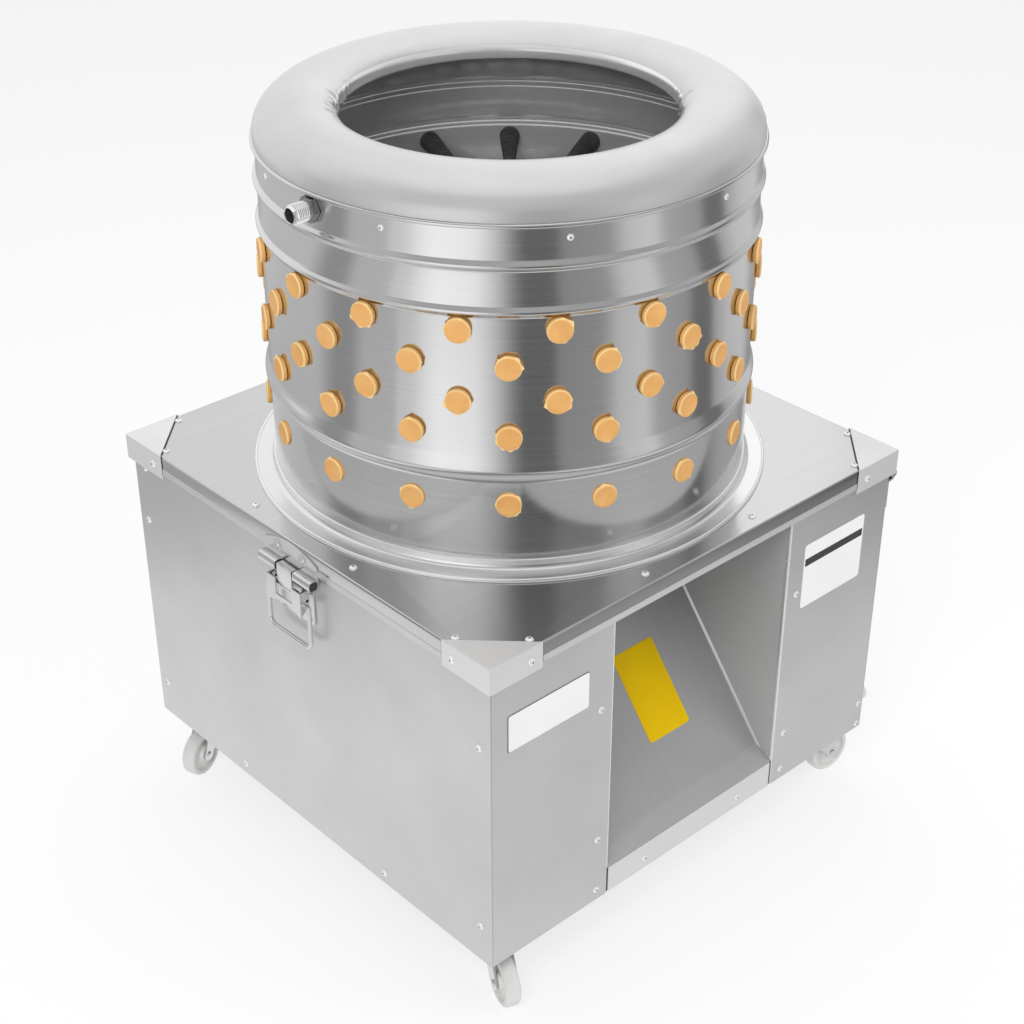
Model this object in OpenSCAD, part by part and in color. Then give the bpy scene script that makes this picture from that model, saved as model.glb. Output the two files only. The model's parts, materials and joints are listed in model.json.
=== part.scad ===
// Drum poultry plucker on casters.
// A finger plate spins at the foot of a drum lined with rubber fingers. The drum stands on the
// top plate of a square base. The top plate tips open on two hinges and a draw latch holds it shut.
// Feathers are washed into a pan under the plate, swept to a chute and leave at the front.
// Millimetres, +Z is up, the chute faces -Y. The origin is on the floor below the drum's axis.

/* [Base box] */
// Outer width of the square base
base_w = 628; // [600:1:680]
// Height of the panels' lower edge above the floor
caster_h = 80; // [78:1:100]
// Height of the side panels
panel_h = 396; // [385:1:440]
// Thickness of the panel sheet
sheet_t = 1.5; // [1:0.1:2]
// Leg of the frame's angle steel
angle_w = 25; // [22:1:28]
// Thickness of the frame's angle steel
angle_t = 3; // [2:0.5:4]
// Clear width of the feather chute
chute_w = 278; // [240:1:300]
// Height of the kick rail under the chute
kick_h = 36; // [32:1:50]
// Distance from the cross beams to the top of the chute floor
chute_gap = 10; // [8:1:14]

/* [Top plate] */
// How far the rim stands proud of the panels
rim_out = 4; // [3:0.5:6]
// Thickness of the top plate and rim
plate_t = 2; // [1.5:0.5:3]
// Depth of the turned-down rim
rim_drop = 24; // [20:1:28]
// Running gap between the lid and the frame that it rests on
seat_gap = 0.3; // [0.2:0.1:0.5]
// Leg of each corner cap
cap_leg = 72; // [60:1:80]
// Depth of each corner cap's skirt
cap_drop = 30; // [26:1:32]
// Thickness of the corner caps
cap_t = 1.5; // [1:0.5:2]

/* [Drum] */
// How far the drum's sheet lies inside the panels
drum_margin = 44; // [43:1:60]
// Height of the drum above the top plate
drum_h = 388; // [380:1:420]
// Thickness of the drum sheet
drum_t = 1.5; // [1:0.5:2]
// Depth of the upper bead below the drum's edge
bead_top_down = 44; // [40:1:48]
// Depth of the second bead below the drum's edge
bead_mid_down = 92.5; // [90:0.5:95]
// How far the beads stand out
bead_out = 4; // [2:0.5:5]
// Radius of the rolled hem round the drum's upper edge
hem_r = 2.6; // [2:0.2:3]
// Width of the flanged ring round the drum's foot
ring_w = 25; // [18:1:27]
// Height of the ring's upstand
ring_h = 13; // [8:1:18]

/* [Cover] */
// Radius of the mouth
mouth_r = 182; // [176:1:190]
// Height of the crest above the drum's edge
crest_rise = 40; // [36:1:50]
// How far the mouth's lip lies below the crest
lip_drop = 20; // [14:1:24]
// Thickness of the cover sheet
cover_t = 1.5; // [1:0.5:2]

/* [Rubber fingers] */
// Fingers in one row of the drum
row_count = 17; // [13:1:17]
// Height of the lowest row above the top plate
row_low_z = 81; // [78:1:84]
// Distance of the highest row below the second bead
row_clear = 19.5; // [18:0.5:24]
// Length of a finger from its seat to its tip
finger_len = 95; // [80:1:100]
// Radius of a finger's head
head_r = 13.6; // [12:0.2:14.4]
// Thickness of a finger's head
head_t = 6; // [4:0.5:7]
// Radius of a finger's neck
neck_r = 9.8; // [8.5:0.1:10.2]
// Radius of a finger at its root
root_r = 12; // [11:0.5:13]
// Radius of a finger at its tip
tip_r = 7; // [6:0.5:8]
// Clearance of the finger holes round the neck
hole_gap = 0.2; // [0.1:0.1:0.4]
// Direction of the finger that faces the front corner
row_phase = 227.3; // [220:0.1:235]

/* [Finger plate] */
// Gap between the finger plate and the drum
disc_gap = 24.5; // [20:0.5:44]
// Thickness of the finger plate
disc_t = 3; // [2:0.5:4]
// Height of the finger plate above the top plate
disc_lift = 14; // [11:1:18]
// Fingers in the plate's outer circle
outer_count = 10; // [6:1:11]
// Gap between the plate's outer circle of fingers and the lowest row's tips
circle_gap = 43; // [38:1:55]
// Fingers in the plate's inner circle
inner_count = 5; // [4:1:6]
// Thickness of the sweeper blades under the plate
sweeper_t = 4; // [3:0.5:6]

/* [Drive] */
// Radius of the main shaft
shaft_r = 12.5; // [11:0.5:14]
// Running clearance of every turning fit
run_gap = 0.05; // [0.03:0.01:0.08]
// Radius of the bearings' inner rings
race_r = 21; // [19.5:0.5:23]
// Turns of the motor's shaft for one turn of the finger plate
pulley_ratio = 4; // [3.5:0.5:4.5]
// Gap between the two pulleys' rims
pulley_gap = 30; // [20:1:40]
// Depth of the belt's centre below the lower cross beams' top face
belt_drop = 66; // [60:1:70]
// Distance of the motor's rear rail from the inside of the back panel
drive_back_gap = 7.5; // [5:0.5:12]
// Radius of the motor's body
motor_r = 70; // [60:1:72]
// Height of the motor's body
motor_h = 150; // [120:1:152]
// Radius of the motor's shaft
motor_shaft_r = 9.5; // [8:0.5:11]
// Depth of the cross beams
beam_h = 25; // [22:1:28]
// Gap between the motor's cowl and the wash pan
cowl_gap = 12.5; // [8:0.5:18]

/* [Latch] */
// Height of the keeper pin below the top plate's upper face
keeper_down = 33; // [32:0.5:34]
// How far the keeper pin stands out from the panel
keeper_out = 11; // [10.5:0.5:12]
// Height of the lever's pivot below the keeper pin
lever_down = 19; // [18.5:0.5:20]
// How far the hook's pivot lies from the lever's pivot
latch_throw = 8; // [7.5:0.5:8.5]
// Width of the hook
hook_w = 26; // [22:1:28]
// Width of the pull ring, between wire centres
pull_w = 73; // [72:1:78]
// Depth of the pull ring's pivot below the lever's pivot
pull_down = 13; // [12.8:0.1:13.5]
// Length of the pull ring below its pivot
pull_len = 54; // [45:1:58]
// Radius of the pull ring's wire
pull_wire_r = 2.5; // [2:0.1:2.8]

/* [Hinges] */
// Radius of the hinge knuckles
knuckle_r = 5; // [4.5:0.5:5.5]
// Radius of the hinge pins
pin_r = 2; // [1.5:0.1:2.5]
// Length of each hinge along the side
hinge_len = 60; // [48:1:72]

/* [Casters] */
// Distance of each swivel from the panels
caster_inset = 42; // [40:1:56]
// Radius of the wheels
wheel_r = 30; // [27:0.5:31]
// Width of the wheels
wheel_w = 20; // [16:1:22]
// Trail of the wheels behind the swivel
trail = 28; // [22:1:29]
// Radius of the axles
axle_r = 4; // [3:0.5:5]

/* [Water inlet] */
// Outer radius of the threaded inlet
inlet_r = 10.4; // [9.5:0.1:11]
// Bore radius of the inlet
inlet_bore_r = 7.5; // [6:0.5:8]
// How far the plain shank's radius is under the thread's
inlet_step = 0.4; // [0.3:0.1:0.6]
// Depth of the inlet below the drum's edge
inlet_down = 18.5; // [18:0.5:19]
// Direction of the inlet round the drum
inlet_turn = 181.5; // [176:0.5:186]

/* [Switches and cable] */
// Radius of the push buttons
button_r = 11; // [9:0.5:12]
// Travel of the push buttons
button_travel = 3; // [2:0.5:3]
// Distance between the push buttons
button_gap = 36; // [34:1:40]
// Radius of the cable gland's bore
gland_bore_r = 4.5; // [3.5:0.5:5.5]

/* [Hidden] */
$fn = 64;
steel = "silver";

// Levels above the floor
panel_top_z = caster_h + panel_h;
plate_z = panel_top_z + 2 + plate_t;
frame_top_z = plate_z - plate_t - seat_gap;
cover_gap = 0.3;
disc_z = plate_z + disc_lift;

// Half widths, measured from the drum's axis
panel_x = base_w / 2;
frame_x = panel_x - 2 * sheet_t;
frame_y = panel_x - sheet_t;
rim_x = panel_x + rim_out;
cap_x = rim_x + cap_t;
chute_x = chute_w / 2;
wall_out_x = chute_x + sheet_t;

// Drum, its beads and the heights of the finger rows
drum_r = panel_x - drum_margin;
drum_in_r = drum_r - drum_t;
bead_top_z = drum_h - bead_top_down;
bead_mid_z = drum_h - bead_mid_down;
row_pitch = (bead_mid_z - row_clear - row_low_z) / 5;
bead_low_z = row_low_z + row_pitch;
bead_half = 7;
low_bead_half = 16;
beads = [
    [bead_top_z, bead_half, bead_out],
    [bead_mid_z, bead_half, bead_out],
    [bead_low_z, low_bead_half, bead_out + 1]
];
ring_out_r = drum_r + ring_w;
plate_hole_r = drum_r - 8;
brim_r = drum_r + 4;
inlet_z = drum_h - inlet_down;
inlet_shank_r = inlet_r - inlet_step;
nut_t = 7;

// Rubber fingers: the head bears on the drum's crest, the root flange on its hollow side
head_seat = 0.1;
root_seat = drum_in_r - sqrt(pow(drum_in_r, 2) - pow(root_r, 2)) + 0.05;
neck_len = drum_t + head_seat + root_seat;
hole_r = neck_r + hole_gap;
row_turn = 360 / row_count;

// Finger plate
disc_r = drum_in_r - disc_gap;
outer_circle_r = drum_r - finger_len - circle_gap;
shaft_flange_r = shaft_r + 27.5;
inner_circle_r = (outer_circle_r + shaft_r + 3.5) / 2;

// Pan, beams and chute
pan_r = plate_hole_r + 4.5;
pan_wall_t = 1.5;
pan_floor_t = 1.5;
pan_z = disc_z - 54;
pan_wall_top_z = plate_z - 6;
upper_beam_z = pan_z - pan_floor_t;
beam_half_y = 36;
beam_t = 4;
beam_x = frame_x - angle_t - 0.5;
bearer_upper_z = upper_beam_z - beam_h;
kick_z = caster_h + kick_h;
lip_len = 8;
chute_front_y = frame_y - angle_t;
chute_foot_y = -chute_front_y + lip_len;
chute_top_y = -beam_half_y - chute_gap;
chute_slope = atan2(pan_z - pan_floor_t - kick_z - sheet_t, chute_top_y - chute_foot_y);

// Drive: the motor hangs as near the back as its rear rail allows, and as high as its cowl allows
bearing_h = 24;
housing_r = race_r + 11;
housing_bolt_x = 49.5;
motor_plate_t = 6;
motor_flange_r = motor_r + 10;
cowl_h = 34;
lower_beam_z = upper_beam_z - cowl_gap - cowl_h - motor_h - motor_plate_t;
bearer_lower_z = lower_beam_z - beam_h;
motor_z = lower_beam_z + motor_plate_t;
belt_z = lower_beam_z - belt_drop;
rail_half = 13;
rail_off = motor_flange_r + 7;
plate_half_x = motor_flange_r + 25;
plate_bolt_x = plate_half_x - 14;
flange_bolt_r = motor_flange_r - 6.5;
flange_turns = [45:90:315];
belt_centres = frame_y - drive_back_gap - rail_half - rail_off;
rail_front_y = belt_centres - rail_off;
rail_back_y = belt_centres + rail_off;
belt_half_t = 4;
belt_half_h = 6;
drive_pitch_r = (belt_centres - pulley_gap - 2 * (belt_half_t + 1)) / (1 + pulley_ratio);
driven_pitch_r = pulley_ratio * drive_pitch_r;
belt_lean = asin((driven_pitch_r - drive_pitch_r) / belt_centres);
shaft_flange_z = disc_z - 8;

// Latch, in distances outwards from the left panel and up from the floor
keeper_z = plate_z - keeper_down;
keeper_pin_r = 2.5;
keeper_knuckle_r = 6;
lever_out = 9.5;
lever_z = keeper_z - lever_down;
hook_dead = 5;
hook_pivot_out = lever_out - latch_throw * sin(hook_dead);
hook_pivot_z = lever_z - latch_throw * cos(hook_dead);
pull_out = 12;
pull_z = lever_z - pull_down;
lever_skin = 7;
lever_in_y = 28;
ear_in_y = 24;
latch_pin_r = 2;

// Hinges: the lower leaf sits on the panel, the upper leaf on the rim's cap
hinge_x = cap_x + knuckle_r;
hinge_z = plate_z - cap_drop - knuckle_r - 0.5;
leaf_t = 2;

// Casters
swivel_x = panel_x - caster_inset;
caster_plate_t = 2.8;
fork_top_z = caster_h - caster_plate_t - 0.3;

// Small hardware
screw_r = 4.4;
button_x = -180;
button_z = 400;
gland_y = 16 - panel_x;
gland_z = caster_h + 38;
gland_hole_r = gland_bore_r + 3.8;
pin_fn = 32;

// Height of the drum's outline above the plain cylinder at a height above the top plate
function bump(z, b) = abs(z - b[0]) >= b[1] ? 0 : b[2] * (1 + cos(180 * (z - b[0]) / b[1])) / 2;
function outline(z) = drum_r + bump(z, beads[0]) + bump(z, beads[1]) + bump(z, beads[2]);
bead_steps = 10;
drum_levels = concat(
    [0],
    [for (b = [beads[2], beads[1], beads[0]]) for (i = [0:bead_steps])
        b[0] - b[1] + 2 * b[1] * i / bead_steps],
    [drum_h]
);

// An L-shaped bar along +Z with its heel on the axis
module angle_bar(len) {
    linear_extrude(len)
        polygon([
            [0, 0], [angle_w, 0], [angle_w, angle_t], [angle_t, angle_t], [angle_t, angle_w], [0, angle_w]
        ]);
}

// Turns what runs along +Z into a bar along +X, with +X to +Y and +Y to +Z
module along_x() {
    rotate([90, 0, 90]) children();
}

// Copies to both sides of the plane X = 0
module both_x() {
    children();
    mirror([1, 0, 0]) children();
}

// Copies to both sides of the plane Y = 0
module both_y() {
    children();
    mirror([0, 1, 0]) children();
}

// A domed screw head that stands on Z = 0
module screw_head(r = screw_r) {
    rotate_extrude($fn = 24)
        polygon([
            [0, 0], [r, 0], [r * 0.93, r * 0.3], [r * 0.62, r * 0.52], [r * 0.3, r * 0.56],
            [r * 0.3, r * 0.3], [0, r * 0.3]
        ]);
}

// Stands on the left (-X) face: the child's +Z points to -X, at distance out from the panel
module on_left(y, z, out = 0) {
    translate([-panel_x - out, y, z]) rotate([0, -90, 0]) children();
}

// Stands on the front (-Y) face: the child's +Z points to -Y
module on_front(x, z, out = 0) {
    translate([x, -panel_x - out, z]) rotate([90, 0, 0]) children();
}

// A flat shape given as distance out from the left panel and height, run along Y about y = 0
module latch_profile(w) {
    translate([-panel_x, w / 2, 0]) rotate([90, 0, 0]) mirror([1, 0, 0]) linear_extrude(w) children();
}

module frame_ring(z, up) {
    translate([0, 0, z]) mirror([0, 0, up ? 0 : 1]) {
        both_y() translate([-frame_x, -frame_y, 0]) along_x() angle_bar(2 * frame_x);
        both_x() translate([frame_x, -frame_y, 0]) rotate([0, 0, 90]) along_x() angle_bar(2 * frame_y);
    }
}

module bearer(z) {
    both_x() translate([frame_x, -frame_y, z]) rotate([0, 0, 90]) mirror([0, 0, 1])
        along_x() angle_bar(2 * frame_y);
}

module base_frame() {
    color("gainsboro") difference() {
        union() {
            frame_ring(caster_h, true);
            frame_ring(frame_top_z, false);
            both_x() both_y() translate([-frame_x, -frame_y, caster_h]) angle_bar(frame_top_z - caster_h);
            both_x() translate([wall_out_x, -frame_y, caster_h]) angle_bar(frame_top_z - caster_h);
            bearer(bearer_upper_z);
            bearer(bearer_lower_z);
            both_x() both_y() corner_gusset();
        }
        translate([frame_x + 1, gland_y, gland_z]) rotate([0, -90, 0]) cylinder(r = gland_hole_r, h = 10);
        both_x() both_y() translate([-swivel_x, -swivel_x, caster_h - 1]) cylinder(r = 8, h = angle_t + 2);
    }
}

module corner_gusset() {
    gusset = caster_inset + 34;
    translate([-frame_x, -frame_y, caster_h]) linear_extrude(angle_t)
        polygon([[0, 0], [gusset, 0], [gusset, gusset * 0.55], [gusset * 0.55, gusset], [0, gusset]]);
}

module channel(len, half, h) {
    along_x() linear_extrude(len)
        polygon([[-half, -h], [-half + beam_t, -h], [-half + beam_t, -beam_t], [half - beam_t, -beam_t],
            [half - beam_t, -h], [half, -h], [half, 0], [-half, 0]]);
}

module cross_beams() {
    color("gainsboro") {
        for (z = [upper_beam_z, lower_beam_z])
            difference() {
                translate([-beam_x, 0, z]) channel(2 * beam_x, beam_half_y, beam_h);
                translate([0, 0, z - beam_t - 1]) cylinder(r = race_r + 1, h = beam_t + 2);
            }
        for (y = [rail_front_y, rail_back_y])
            translate([-beam_x, y, lower_beam_z]) channel(2 * beam_x, rail_half, beam_h);
    }
}

module side_panel() {
    translate([-panel_x, -panel_x, caster_h]) cube([sheet_t, base_w, panel_h]);
}

module left_panel() {
    color(steel) side_panel();
}

module right_panel() {
    color(steel) difference() {
        mirror([1, 0, 0]) side_panel();
        translate([panel_x - sheet_t - 1, gland_y, gland_z]) rotate([0, 90, 0])
            cylinder(r = gland_hole_r, h = sheet_t + 2);
    }
}

// A sheet on the -Y face from one X to another, with flanges folded back behind the side panels
module front_sheet(x1, x2) {
    flange = 20;
    translate([x1, -panel_x, caster_h]) cube([x2 - x1, sheet_t, panel_h]);
    if (x1 < sheet_t - panel_x + 0.1)
        translate([x1, -panel_x, caster_h]) cube([sheet_t, flange, panel_h]);
    if (x2 > panel_x - sheet_t - 0.1)
        translate([x2 - sheet_t, -panel_x, caster_h]) cube([sheet_t, flange, panel_h]);
}

module back_panel() {
    color(steel) difference() {
        mirror([0, 1, 0]) front_sheet(sheet_t - panel_x, panel_x - sheet_t);
        for (x = [button_x, button_x + button_gap])
            translate([x, panel_x + 1, button_z]) rotate([90, 0, 0])
                cylinder(r = button_r + 0.6, h = sheet_t + 2);
    }
}

module front_panel_left() {
    color(steel) front_sheet(sheet_t - panel_x, -wall_out_x);
}

module front_panel_right() {
    color(steel) difference() {
        front_sheet(wall_out_x, panel_x - sheet_t);
        translate([panel_x - 2 * sheet_t - 1, gland_y, gland_z]) rotate([0, 90, 0])
            cylinder(r = gland_hole_r, h = sheet_t + 2);
    }
}

module kick_rail() {
    end_gap = 3;
    top_depth = 24;
    color("gainsboro") translate([-wall_out_x + end_gap, -panel_x, 0]) {
        translate([0, 0, caster_h]) cube([2 * (wall_out_x - end_gap), sheet_t, kick_h]);
        translate([0, 0, kick_z - sheet_t]) cube([2 * (wall_out_x - end_gap), top_depth, sheet_t]);
    }
}

module chute_floor() {
    rise = sheet_t / cos(chute_slope);
    tab = 4;
    color(steel) translate([-chute_x, 0, 0]) along_x() linear_extrude(chute_w)
        polygon([
            [-chute_front_y, kick_z], [chute_foot_y + sheet_t, kick_z],
            [chute_top_y, upper_beam_z - rise], [chute_top_y + tab, upper_beam_z - rise],
            [chute_top_y + tab, upper_beam_z], [chute_top_y, upper_beam_z],
            [chute_foot_y, kick_z + sheet_t], [-chute_front_y, kick_z + sheet_t]
        ]);
}

module chute_walls() {
    clear_y = -sqrt(pow(pan_r + 2, 2) - pow(chute_x, 2));
    color(steel) both_x() translate([chute_x, 0, 0]) along_x() linear_extrude(sheet_t)
        polygon([
            [-chute_front_y, kick_z], [chute_foot_y, kick_z], [chute_top_y, upper_beam_z - 2],
            [chute_top_y, upper_beam_z], [clear_y, upper_beam_z], [clear_y, pan_wall_top_z],
            [-chute_front_y, pan_wall_top_z]
        ]);
}

module wash_pan() {
    collar_r = shaft_r + 12;
    color(steel) difference() {
        union() {
            difference() {
                translate([0, 0, upper_beam_z])
                    cylinder(r = pan_r, h = pan_wall_top_z - upper_beam_z, $fn = 96);
                translate([0, 0, pan_z]) cylinder(r = pan_r - pan_wall_t, h = 100, $fn = 96);
                translate([-chute_x, -pan_r - 1, upper_beam_z - 1])
                    cube([chute_w, pan_r + 1 + chute_top_y, 200]);
            }
            translate([0, 0, upper_beam_z]) cylinder(r = collar_r, h = 30);
        }
        translate([0, 0, upper_beam_z - 1]) cylinder(r = collar_r - 2.5, h = 40);
    }
}

// A two-bolt flange housing with its bore on the axis, standing on Z = 0
module housing() {
    ear_r = 13;
    difference() {
        union() {
            linear_extrude(12) {
                circle(r = housing_r);
                both_x() translate([housing_bolt_x, 0]) circle(r = ear_r);
                square([2 * housing_bolt_x, 2 * ear_r], center = true);
            }
            cylinder(r = housing_r - 3, h = bearing_h);
        }
        translate([0, 0, -1]) cylinder(r = race_r + run_gap, h = bearing_h + 2);
        both_x() translate([housing_bolt_x, 0, -1]) cylinder(r = 5.5, h = 20);
    }
}

module bearing_housings() {
    color("dimgray") {
        translate([0, 0, upper_beam_z - beam_t]) mirror([0, 0, 1]) housing();
        translate([0, 0, lower_beam_z]) housing();
    }
}

module motor_plate() {
    color("gainsboro") difference() {
        translate([-plate_half_x, rail_front_y - rail_half, lower_beam_z])
            cube([2 * plate_half_x, rail_back_y - rail_front_y + 2 * rail_half, motor_plate_t]);
        translate([0, belt_centres, lower_beam_z - 1]) cylinder(r = 30, h = motor_plate_t + 2);
        for (x = [-plate_bolt_x, plate_bolt_x], y = [rail_front_y, rail_back_y])
            translate([x, y, lower_beam_z - 1]) cylinder(r = 5.5, h = motor_plate_t + 2);
    }
}

module motor_body() {
    fins = 24;
    color("steelblue") translate([0, belt_centres, motor_z]) difference() {
        union() {
            difference() {
                cylinder(r = motor_flange_r, h = 10);
                for (t = flange_turns)
                    rotate([0, 0, t]) translate([flange_bolt_r, 0, -1]) cylinder(r = 3.2, h = 12, $fn = 24);
            }
            cylinder(r = motor_r - 7, h = motor_h);
            for (i = [0:fins - 1])
                rotate([0, 0, i * 360 / fins]) translate([motor_r - 9, -1.5, 14]) cube([9, 3, motor_h - 24]);
            translate([-motor_r - 24, -26, 40]) cube([40, 52, 80]);
        }
        translate([0, 0, -1]) cylinder(r = motor_shaft_r + run_gap, h = motor_h + 2);
    }
}

module motor_cowl() {
    slots = 12;
    color("dimgray") translate([0, belt_centres, motor_z + motor_h - 10]) difference() {
        cylinder(r = motor_r, h = cowl_h + 10);
        translate([0, 0, -1]) cylinder(r = motor_r - 3, h = cowl_h + 9);
        for (i = [0:slots - 1])
            rotate([0, 0, i * 360 / slots]) translate([22, -3, cowl_h + 6]) cube([34, 6, 6]);
    }
}

// A hexagon-headed bolt, standing on Z = 0, with its shank below
module bolt(r, shank) {
    cylinder(r = r * 1.9, h = r * 1.3, $fn = 6);
    translate([0, 0, -shank]) cylinder(r = r, h = shank + 0.5, $fn = 24);
}

module motor_bolts() {
    color(steel) {
        for (t = flange_turns)
            translate([0, belt_centres, motor_z + 10]) rotate([0, 0, t]) translate([flange_bolt_r, 0, 0])
                bolt(3, 10);
        for (x = [-plate_bolt_x, plate_bolt_x], y = [rail_front_y, rail_back_y])
            translate([x, y, lower_beam_z + motor_plate_t]) bolt(5, motor_plate_t);
        for (x = [-housing_bolt_x, housing_bolt_x]) {
            translate([x, 0, lower_beam_z + 12]) bolt(5, 12);
            translate([x, 0, upper_beam_z - beam_t - 12]) mirror([0, 0, 1]) bolt(5, 12);
        }
    }
}

// The belt's trapezoid, as distance from its pitch line and height
module belt_section() {
    polygon([
        [-belt_half_t, 2 - belt_half_h], [belt_half_t, -belt_half_h],
        [belt_half_t, belt_half_h], [-belt_half_t, belt_half_h - 2]
    ]);
}

module drive_belt() {
    straight = belt_centres * cos(belt_lean);
    color("dimgray") translate([0, 0, belt_z]) {
        rotate([0, 0, 180 - belt_lean]) rotate_extrude(angle = 180 + 2 * belt_lean, $fn = 96)
            translate([driven_pitch_r, 0]) belt_section();
        translate([0, belt_centres, 0]) rotate([0, 0, belt_lean])
            rotate_extrude(angle = 180 - 2 * belt_lean, $fn = 96)
                translate([drive_pitch_r, 0]) belt_section();
        both_x() rotate([0, 0, belt_lean]) translate([driven_pitch_r, 0, 0]) rotate([-90, 0, 0])
            linear_extrude(straight) belt_section();
    }
}

// A grooved pulley with its belt line at Z = 0
module pulley(pitch_r, hub_r, bore_r) {
    outer = pitch_r + belt_half_t + 1;
    gap = 0.5;
    hub_down = 12;
    hub_up = 22;
    color("slategray") rotate_extrude($fn = 96) difference() {
        union() {
            translate([bore_r, -hub_down]) square([hub_r - bore_r, hub_down + hub_up]);
            translate([bore_r, -3.5]) square([outer - bore_r, 7]);
            translate([pitch_r - 14, -9]) square([outer - pitch_r + 14, 18]);
        }
        translate([pitch_r, 0])
            polygon([
                [-6, -4 - gap], [outer - pitch_r + 1, -6.6 - gap],
                [outer - pitch_r + 1, 6.6 + gap], [-6, 4 + gap]
            ]);
    }
}

module driven_pulley() {
    translate([0, 0, belt_z]) pulley(driven_pitch_r, shaft_r + 15.5, shaft_r + run_gap);
}

module drive_pulley() {
    translate([0, belt_centres, belt_z]) pulley(drive_pitch_r, motor_shaft_r + 8.5, motor_shaft_r + run_gap);
}

module motor_shaft() {
    color("gainsboro") translate([0, belt_centres, belt_z - 14])
        cylinder(r = motor_shaft_r, h = motor_z + motor_h + 24 - belt_z + 14);
}

module cooling_fan() {
    blades = 6;
    hub_z = motor_z + motor_h + 4;
    color("dimgray") translate([0, belt_centres, hub_z]) difference() {
        union() {
            cylinder(r = motor_shaft_r + 8, h = 18);
            for (i = [0:blades - 1])
                rotate([0, 0, i * 360 / blades]) translate([motor_shaft_r + 4, -1.5, 0])
                    cube([motor_r - motor_shaft_r - 12, 3, 18]);
        }
        translate([0, 0, -1]) cylinder(r = motor_shaft_r + run_gap, h = 30);
    }
}

module main_shaft() {
    low = belt_z - 16;
    color("gainsboro") {
        translate([0, 0, low]) cylinder(r = shaft_r, h = shaft_flange_z - low + 1);
        translate([0, 0, shaft_flange_z]) cylinder(r = shaft_flange_r, h = disc_z - shaft_flange_z);
        translate([0, 0, disc_z - 1]) cylinder(r = shaft_r - 4, h = disc_t + 14);
    }
    color("gray") for (z = [upper_beam_z - beam_t - bearing_h, lower_beam_z])
        translate([0, 0, z]) difference() {
            cylinder(r = race_r, h = bearing_h);
            translate([0, 0, -1]) cylinder(r = shaft_r + run_gap, h = bearing_h + 2);
        }
    color(steel) translate([0, 0, disc_z + disc_t]) difference() {
        union() {
            cylinder(r = shaft_r + 18, h = 3);
            cylinder(r = shaft_r + 4, h = 14, $fn = 6);
        }
        translate([0, 0, -1]) cylinder(r = shaft_r - 4 + run_gap, h = 20);
    }
}

// Turns of the plate's two circles of fingers
function circle_turns(count) = [for (i = [0:count - 1]) i * 360 / count];

module finger_plate() {
    lip = 6;
    color(steel) translate([0, 0, disc_z]) difference() {
        union() {
            cylinder(r = disc_r, h = disc_t, $fn = 96);
            translate([0, 0, -lip]) cylinder(r = disc_r, h = lip + disc_t, $fn = 96);
        }
        translate([0, 0, -lip - 1]) cylinder(r = disc_r - 2, h = lip + 1, $fn = 96);
        translate([0, 0, -1]) cylinder(r = shaft_r - 4 + run_gap, h = disc_t + 2);
        for (t = circle_turns(outer_count))
            rotate([0, 0, t]) translate([outer_circle_r, 0, -1]) cylinder(r = hole_r, h = disc_t + 2, $fn = 32);
        for (t = circle_turns(inner_count))
            rotate([0, 0, t]) translate([inner_circle_r, 0, -1]) cylinder(r = hole_r, h = disc_t + 2, $fn = 32);
    }
}

// A rubber finger along -Z with its head above Z = 0 and a neck of a given length below it
module finger(neck) {
    ribs = 7;
    body = finger_len - neck - 14;
    rib = body / ribs;
    color("sandybrown") rotate_extrude($fn = 32) polygon(concat(
        [[0, head_t], [head_r - 1.6, head_t], [head_r, head_t - 1.6], [head_r, 0], [neck_r, 0], [neck_r, -neck],
            [root_r, -neck], [root_r, -neck - 5]],
        [for (i = [0:ribs - 1]) for (s = [0, 1])
            [root_r - 1.2 * s - (root_r - tip_r) * (i + s / 2) / ribs, -neck - 5 - (i + s * 0.7) * rib]],
        [[tip_r, -finger_len + 5], [tip_r * 0.72, -finger_len + 1.4], [0, -finger_len]]
    ));
}

module plate_fingers() {
    for (t = circle_turns(outer_count))
        rotate([0, 0, t]) translate([outer_circle_r, 0, disc_z]) mirror([0, 0, 1]) finger(disc_t);
    for (t = circle_turns(inner_count))
        rotate([0, 0, t]) translate([inner_circle_r, 0, disc_z]) mirror([0, 0, 1]) finger(disc_t);
}

module sweepers() {
    blades = 2;
    blade_turn = 18;
    root = shaft_flange_r + 2;
    foot = pan_z + 3;
    color(steel) for (t = [for (i = [0:blades - 1]) blade_turn + i * 360 / blades])
        rotate([0, 0, t]) translate([root, -sweeper_t / 2, foot])
            cube([disc_r - 4 - root, sweeper_t, disc_z - foot]);
}

module top_plate() {
    color(steel) difference() {
        translate([-rim_x, -rim_x, plate_z - rim_drop]) cube([2 * rim_x, 2 * rim_x, rim_drop]);
        translate([-rim_x + plate_t, -rim_x + plate_t, plate_z - rim_drop - 1])
            cube([2 * (rim_x - plate_t), 2 * (rim_x - plate_t), rim_drop - plate_t + 1]);
        translate([0, 0, plate_z - rim_drop - 1]) cylinder(r = plate_hole_r, h = rim_drop + 2, $fn = 96);
    }
}

module corner_caps() {
    color("gainsboro") both_x() both_y() translate([-cap_x, -cap_x, plate_z]) {
        linear_extrude(cap_t)
            polygon([[0, 0], [cap_leg, 0], [cap_leg - 3, 3.5], [3.5, cap_leg - 3], [0, cap_leg]]);
        translate([0, 0, -cap_drop]) cube([cap_leg, cap_t, cap_drop + cap_t]);
        translate([0, 0, -cap_drop]) cube([cap_t, cap_leg, cap_drop + cap_t]);
    }
}

// Places the child on the drum's outside, its +Z pointing outwards
module on_drum(turn, z) {
    rotate([0, 0, turn]) translate([drum_r, 0, plate_z + z]) rotate([0, 90, 0]) children();
}

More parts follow.
